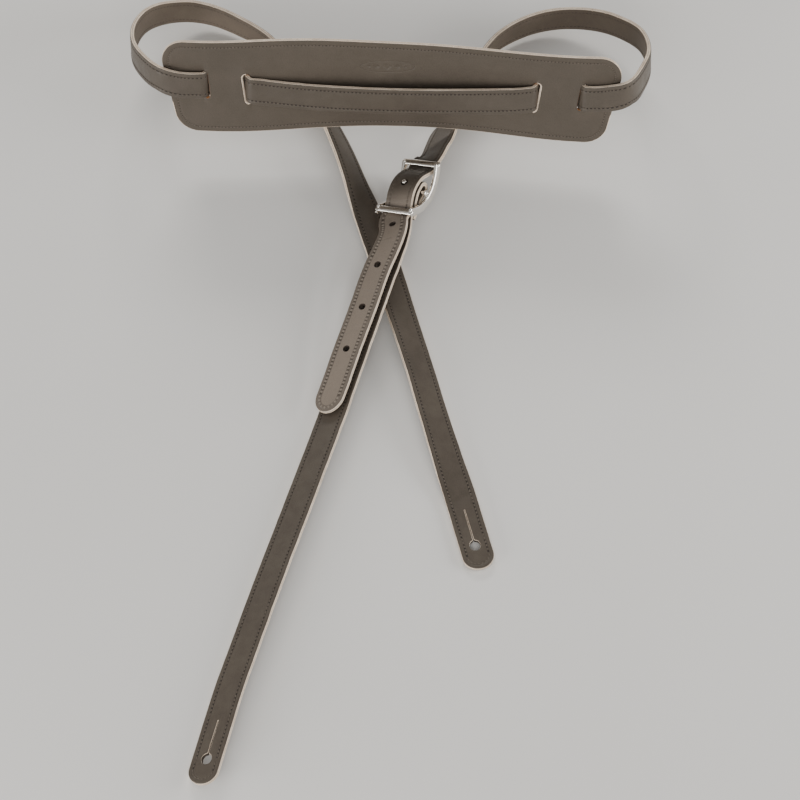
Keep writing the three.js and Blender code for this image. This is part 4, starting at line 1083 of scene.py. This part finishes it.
def slot_loop(name, grow):
    """Counter-clockwise outline of a slot, widened by grow."""
    low, high = (np.array(end) for end in SLOTS[name][:2])
    up = unit(high - low)
    side = np.array([-up[1], up[0]])
    radius = SLOT_HALF + grow
    angles = [math.pi * k / 8 for k in range(9)]
    steps = 22
    loop = [low + side * radius * math.cos(t) - up * radius * math.sin(t) for t in angles]
    loop += [low - side * radius + (high - low) * k / steps for k in range(1, steps)]
    loop += [high - side * radius * math.cos(t) + up * radius * math.sin(t) for t in angles]
    loop += [high + side * radius + (low - high) * k / steps for k in range(1, steps)]
    return np.array(loop)


def slot_distance(points, name):
    """Distance outside a slot's wall, and the signed distance in a from its centre line."""
    low, high = (np.array(end) for end in SLOTS[name][:2])
    line = high - low
    share = np.clip(((points - low) @ line) / (line @ line), 0, 1)
    near = low + share[..., None] * line
    return np.linalg.norm(points - near, axis=-1) - SLOT_HALF, points[..., 0] - near[..., 0]


def is_inside(points, outline):
    x, y = points.T
    inside = np.zeros(len(points), bool)
    for (x0, y0), (x1, y1) in zip(outline, np.roll(outline, -1, axis=0)):
        if y0 != y1:
            inside ^= ((y0 > y) != (y1 > y)) & (x < (x1 - x0) * (y - y0) / (y1 - y0) + x0)
    return inside


def lattice(a_places, b_places):
    a, b = np.meshgrid(a_places, b_places)
    return np.stack([a.ravel(), b.ravel()], 1)


def pad_layout(outline):
    """All the pad's flat points, and the point numbers of the outline and of each slot."""
    layers = [inset(outline, distance) for distance in PAD_RINGS]
    loops = [range(len(outline))]
    count = len(outline) * len(PAD_RINGS)
    for name in SLOTS:
        rings = [slot_loop(name, grow) for grow in SLOT_RINGS]
        loops.append(range(count, count + len(rings[0])))
        layers += rings
        count += sum(len(ring) for ring in rings)
    coarse = lattice(np.arange(-140, 140.1, 1.7), np.arange(2, 64, 1.7))
    fine = lattice(np.arange(-21.6, 15.7, 0.36), np.arange(41.8, 52.3, 0.36))  # the ornament
    a, b = coarse.T
    keep = ~((a > -22.6) & (a < 16.6) & (b > 40.8) & (b < 53.2))
    for name in SLOTS:
        keep &= slot_distance(coarse, name)[0] > 3.9
    keep &= is_inside(coarse, inset(outline, 8.9))
    coarse = coarse[keep]
    layers += [coarse + rng.uniform(-0.12, 0.12, coarse.shape), fine]
    return np.concatenate(layers), loops


def ornament(a, b):
    """A pressed ornament: a long oval line with lozenges inside."""
    x, y = a + 3.0, b - 47.0
    oval = np.hypot(x / 17.0, y / 4.3)
    depth = bell((oval - 1) * np.hypot(x, y) / np.maximum(oval, 1e-6), 0.32)
    for centre, size in ((0.0, 2.4), (6.6, 1.5), (-6.6, 1.5), (11.4, 0.9), (-11.4, 0.9)):
        beyond = (np.abs(x - centre) * 0.8 + np.abs(y)) - size
        depth = np.maximum(depth, np.clip(0.5 - beyond / 0.5, 0, 1))
    return depth


def pad_wave(a, b):
    return 0.25 * np.sin(a * 0.055 + 0.6) * np.sin(b * 0.07 + 0.3)


def pad_surfaces(points, edge, in_seam, pit):
    """Front and back points; edge is each point's distance from the outline."""
    a, b = points.T
    roll = 0.5 * fade(edge, 0.45) ** 2
    seam = 0.20 * bell(edge - PAD_SEAM, 0.75) + 0.05 * bell(edge - 1.6, 0.4)
    front = PAD_THICK / 2 - roll - seam
    back = -PAD_THICK / 2 + roll + seam * 0.7
    front[pit] -= 0.42
    front[in_seam & ~pit] += 0.02
    back[pit] += 0.2
    shift = np.zeros(len(points))
    for name, (_, _, lean) in SLOTS.items():
        distance, side = slot_distance(points, name)
        roll = 0.5 * fade(distance, 0.5) ** 2
        front -= roll
        back += roll
        ease = fade(distance, 7.0)
        shift -= lean * SLOT_SHIFT * ease * ease * (3 - 2 * ease)
        tongue = side * lean > 0  # the leather the strap passes behind
        if name in INNER_SLOTS:
            front -= np.where(tongue, 0.8 * fade(distance, 1.15) ** 1.3, 0)
        lift = np.where(tongue, 0.75, -0.35) * fade(distance, 9.0) ** 1.5
        front += lift
        back += lift
    wave = pad_wave(a, b)
    front += wave - 0.34 * ornament(a, b)
    back += wave
    return pad_point(a + shift, b, front), pad_point(a - shift, b, back)


def pad_face_materials(points, triangles, edge, pit):
    """Material numbers for the front triangles, then the back ones."""
    corners = points[triangles]
    corner_edge = edge[triangles]
    rim = corner_edge.min(axis=1) + corner_edge.max(axis=1) < 0.15
    low = (corner_edge.max(axis=1) < 0.55) & (corners[:, :, 1].mean(axis=1) < 20)
    slot_gap = np.full(len(triangles), 9.0)
    lip = np.zeros(len(triangles), bool)
    for name, (_, _, lean) in SLOTS.items():
        distance, side = slot_distance(corners, name)
        furthest = distance.max(axis=1)
        slot_gap = np.minimum(slot_gap, furthest)
        if name in INNER_SLOTS:
            lip |= (furthest < 1.15) & (side.mean(axis=1) * lean > 0)
    slot_rim, holes = slot_gap < 0.16, pit[triangles].any(axis=1)
    # the pad's needle holes take PAD_PIT, the painted shade
    choices = [PAD_EDGE, PAD_TAN, PAD_PIT]
    front = np.select([rim | lip | low, slot_rim, holes], choices, PAD_FRONT)
    back = np.select([rim, slot_rim, holes], choices, PAD_BACK)
    return front.tolist() + back.tolist()


def pad_wall(mesh, loop, front_ids, back_ids, front, back, outward, materials):
    """Wall between front and back; outward is +1 for the outline, -1 for a slot."""
    away = -inward(loop) * outward
    away = away[:, :1] * PAD_ACROSS + away[:, 1:] * PAD_UP
    uneven = (wobble(31, 5.0)(np.arange(len(loop)) * 0.8) * 0.04)[:, None]
    levels = [front_ids]
    # (share of the way to the back, bulge), with the groove between plies half way
    for share, bulge in ((0.22, 0.05), (0.46, 0.04), (0.5, -0.14), (0.54, 0.04), (0.78, 0.05)):
        levels.append(mesh.add(front + (back - front) * share + away * (bulge + uneven)))
    levels.append(back_ids)
    for upper, lower, material in zip(levels, levels[1:], materials):
        for i in range(len(loop)):
            j = (i + 1) % len(loop)
            corners = (upper[i], lower[i], lower[j], upper[j])
            mesh.face(corners if outward > 0 else corners[::-1], material)


def build_pad(outline):
    flat, loops = pad_layout(outline)
    edges = [pair for loop in loops for pair in zip(loop, [*loop[1:], loop[0]])]
    points, _, faces, sources, _, _ = delaunay_2d_cdt([tuple(p) for p in flat], edges, [], 0, 1e-6)
    points = np.array([tuple(p) for p in points])
    triangles = np.array([f for f in faces if len(f) == 3])
    centres = points[triangles].mean(axis=1)
    keep = is_inside(centres, outline)
    for name in SLOTS:
        keep &= slot_distance(centres, name)[0] > -1e-4
    triangles = triangles[keep]
    turn = np.cross(points[triangles[:, 1]] - points[triangles[:, 0]],
                    points[triangles[:, 2]] - points[triangles[:, 0]])
    triangles[turn < 0] = triangles[turn < 0][:, ::-1]

    # ring and place round the ring each point came from
    source = np.array([s[0] if s else -1 for s in sources])
    on_ring = (source >= 0) & (source < len(outline) * len(PAD_RINGS))
    ring = np.where(on_ring, source // len(outline), -1)
    edge = np.where(on_ring, np.array(PAD_RINGS)[ring], 8.5)
    in_seam = ring == PAD_RINGS.index(PAD_SEAM)
    pit = in_seam & (source % len(outline) % STITCH_POINTS == 0)

    front, back = pad_surfaces(points, edge, in_seam, pit)
    mesh = Mesh()
    mesh.add(front)
    mesh.add(back)
    mesh.faces = [tuple(t) for t in triangles.tolist()]
    mesh.faces += [tuple(t) for t in (triangles[:, ::-1] + len(points)).tolist()]
    mesh.materials = pad_face_materials(points, triangles, edge, pit)
    made_from = {j: i for i, joined in enumerate(sources) for j in joined}
    rim_bands = [PAD_EDGE, PAD_EDGE, PAD_GLUE, PAD_GLUE, PAD_EDGE, PAD_EDGE]
    for loop in loops:
        ids = np.array([made_from[j] for j in loop])
        is_rim = loop is loops[0]
        pad_wall(mesh, points[ids], ids, ids + len(points), front[ids], back[ids],
                 1 if is_rim else -1, rim_bands if is_rim else [PAD_TAN] * 6)
    return mesh.object("shoulder_pad", PAD_MATERIALS)


def build_pad_stitches(outline):
    holes = inset(outline, PAD_SEAM)[::STITCH_POINTS]
    places = []
    for start, end in zip(holes, np.roll(holes, -1, axis=0)):
        middle = (start + end) / 2
        along = unit(pad_point(*end, 0)[0] - pad_point(*start, 0)[0])
        out = unit(PAD_OUT - along * (PAD_OUT @ along))
        centre = pad_point(*middle, pad_wave(*middle))[0]
        places += stitch_pair(centre, along, out, PAD_THICK / 2 - 0.16, PAD_THICK / 2 - 0.12)
    return stitches("pad_stitches", places, length=1.5, width=0.8)


def ride(made, part, replaced):
    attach(made, part)
    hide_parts(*replaced)


pad_edge_line = pad_outline()
pad, pad_sewing = build_pad(pad_edge_line), build_pad_stitches(pad_edge_line)
ride(pad, "pad", ("pad_front_leather", "pad_back_lining"))
ride(pad_sewing, "pad", ("pad_seam_thread",))


# ------------------------------------------------------------------ buckle
def bar(points, normals, across, half_normal, half_across, power, sides):
    """Round-ended bar with a superellipse section, in the buckle's frame."""
    points = np.asarray(points, float)
    normals = np.broadcast_to(normals, points.shape)
    reach = min(half_normal, half_across)
    end_angles = (0.35, 0.7, 1.05, 1.35)

    def end(i, neighbour):
        out = unit(points[i] - points[neighbour])
        return [(points[i] + out * reach * math.sin(t), normals[i], 1 - (1 - math.cos(t)) * 0.9)
                for t in end_angles]

    rings = end(0, 1)[::-1] + [(p, n, 1.0) for p, n in zip(points, normals)] + end(-1, -2)
    surface = []
    for centre, normal, size in rings:
        for k in range(sides):
            angle = 2 * math.pi * k / sides
            x, y = (math.copysign(abs(v) ** (2 / power), v)
                    for v in (math.cos(angle), math.sin(angle)))
            surface.append(centre + normal * half_normal * x * size
                           + across * half_across * y * size)
    return in_buckle(surface), tube_faces(len(rings), sides)


def cross_bar(mesh, along, out, half_width, count, **section):
    """A straight bar from side to side."""
    w = np.linspace(-half_width, half_width, count)
    points = np.stack([np.full_like(w, along), w, np.full_like(w, out)], 1)
    mesh.shape(*bar(points, OUT, ALONG, **section), flip=True)


ALONG, ACROSS, OUT = np.eye(3)


def build_buckle():
    mesh = Mesh()
    half = BUCKLE_SPAN / 2
    along = np.linspace(-half, half, 41)
    sag = -ARC_DEPTH * (1 - (along / half) ** 2)
    rail_normals = [unit(np.array([-slope, 0, 1.0])) for slope in 2 * ARC_DEPTH * along / half**2]
    for side in (-1, 1):
        w = side * (BUCKLE_HALF_WIDTH - RAIL_THICK / 2)
        rail = np.stack([along + BUCKLE_MID, np.full_like(along, w), sag], 1)
        mesh.shape(*bar(rail, rail_normals, ACROSS, ARC_BAND / 2 + 0.5, RAIL_THICK / 2,
                        power=4.2, sides=24), flip=True)
        # lug that carries the centre bar
        lug = [(0.0, w, CENTRE_BAR_N + 0.9), (0.0, w, -5.0), (0.0, w, -ARC_DEPTH + 0.6)]
        mesh.shape(*bar(lug, ALONG, ACROSS, 1.9, RAIL_THICK / 2 * 0.86, power=2.8, sides=22))
    ends = (-half + BUCKLE_MID, half + BUCKLE_MID)
    # a small nub beside each end bar, near its left (-across) end
    for place in ends:
        nub = [(place + 3.0, -(BUCKLE_HALF_WIDTH - 1.0), out) for out in (-1.6, -0.9, -0.2)]
        mesh.shape(*bar(nub, ALONG, ACROSS, 0.8, 0.8, power=2.0, sides=14))
    for place in ends:
        cross_bar(mesh, place, 0, BUCKLE_HALF_WIDTH - 0.4, 15,
                  half_normal=1.15, half_across=2.25, power=2.6, sides=30)
    cross_bar(mesh, 0, CENTRE_BAR_N, BUCKLE_HALF_WIDTH - 0.5, 5,
              half_normal=CENTRE_BAR_R, half_across=CENTRE_BAR_R, power=2.0, sides=22)
    return mesh.object("buckle_frame_nickel", [M_NICKEL])


def build_stud():
    """A turned post on the centre bar with a small rounded head."""
    foot, top = CENTRE_BAR_N + CENTRE_BAR_R - 0.2, 6.55
    # (radius, height)
    outline = [
        (0.02, foot), (1.2, foot), (1.2, top - 1.35), (1.28, top - 1.2), (1.5, top - 1.0),
        (1.56, top - 0.8), (1.5, top - 0.5), (1.25, top - 0.2), (0.8, top - 0.04), (0.3, top),
        (0.02, top),
    ]
    sides = 28
    angles = [2 * math.pi * k / sides for k in range(sides)]
    points = [(r * math.cos(t), r * math.sin(t), z) for r, z in outline for t in angles]
    mesh = Mesh()
    mesh.shape(in_buckle(points), tube_faces(len(outline), sides))
    return mesh.object("buckle_stud_nickel", [M_NICKEL])


buckle_frame, buckle_stud = build_buckle(), build_stud()
ride(buckle_frame, "buckled_length", ("buckle_frame",))
ride(buckle_stud, "buckled_length", ("buckle_stud",))


# ------------------------------------------------------------------ table, lights, camera (metres)
def build_table():
    shader = Shader("pale_table")
    tone = shader.noise(scale=6, detail=2, rough=0.5)
    shader.set("Base Color",
               shader.ramp(tone, (0.3, (0.78, 0.775, 0.765)), (0.7, (0.80, 0.797, 0.79))))
    shader.set("Roughness", 0.85)
    half, z = 6, -0.0002
    mesh = bpy.data.meshes.new("floor")
    corners = [(-half, -half, z), (half, -half, z), (half, half, z), (-half, half, z)]
    mesh.from_pydata(corners, [], [(0, 1, 2, 3)])
    mesh.materials.append(shader.material)
    floor = bpy.data.objects.new("floor", mesh)
    bpy.context.scene.collection.objects.link(floor)


def build_world():
    world = bpy.data.worlds.new("studio")
    bpy.context.scene.world = world
    world.use_nodes = True
    background = world.node_tree.nodes["Background"]
    background.inputs["Color"].default_value = (1.0, 0.985, 0.955, 1)
    background.inputs["Strength"].default_value = 0.42


def area_light(name, location, target, size, power, color):
    data = bpy.data.lights.new(name, "AREA")
    data.shape = "RECTANGLE"
    data.size, data.size_y = size
    data.energy = power
    data.color = color
    light = bpy.data.objects.new(name, data)
    bpy.context.scene.collection.objects.link(light)
    aim = np.array(target, float) - np.array(location, float)
    light.location = location
    light.rotation_mode = "QUATERNION"
    light.rotation_quaternion = Vector(aim).to_track_quat("-Z", "Y")


def build_camera():
    data = bpy.data.cameras.new("camera")
    camera = bpy.data.objects.new("camera", data)
    bpy.context.scene.collection.objects.link(camera)
    camera.location = (0.006304, -0.817532, 1.4433118)
    camera.rotation_euler = (math.radians(29.0), 0, 0)
    data.lens, data.sensor_width = 121.5, 36
    data.clip_start, data.clip_end = 0.05, 50
    bpy.context.scene.camera = camera


build_table()
build_world()
area_light("front_key", location=(-0.15, -1.45, 1.15), target=(0, 0.03, 0), size=(1.3, 0.8),
           power=12, color=(1.0, 0.965, 0.91))
area_light("back_rim", location=(-0.3, 1.7, 0.85), target=(0, 0.03, 0.02), size=(0.9, 0.4),
           power=16, color=(1.0, 0.97, 0.92))
area_light("right_side", location=(1.25, -0.1, 0.36), target=(0, 0.03, 0), size=(0.9, 0.45),
           power=12, color=(1.0, 0.975, 0.94))
area_light("left_front", location=(-1.1, -0.75, 0.26), target=(-0.05, 0.1, 0.02), size=(0.9, 0.4),
           power=12, color=(1.0, 0.975, 0.94))
build_camera()
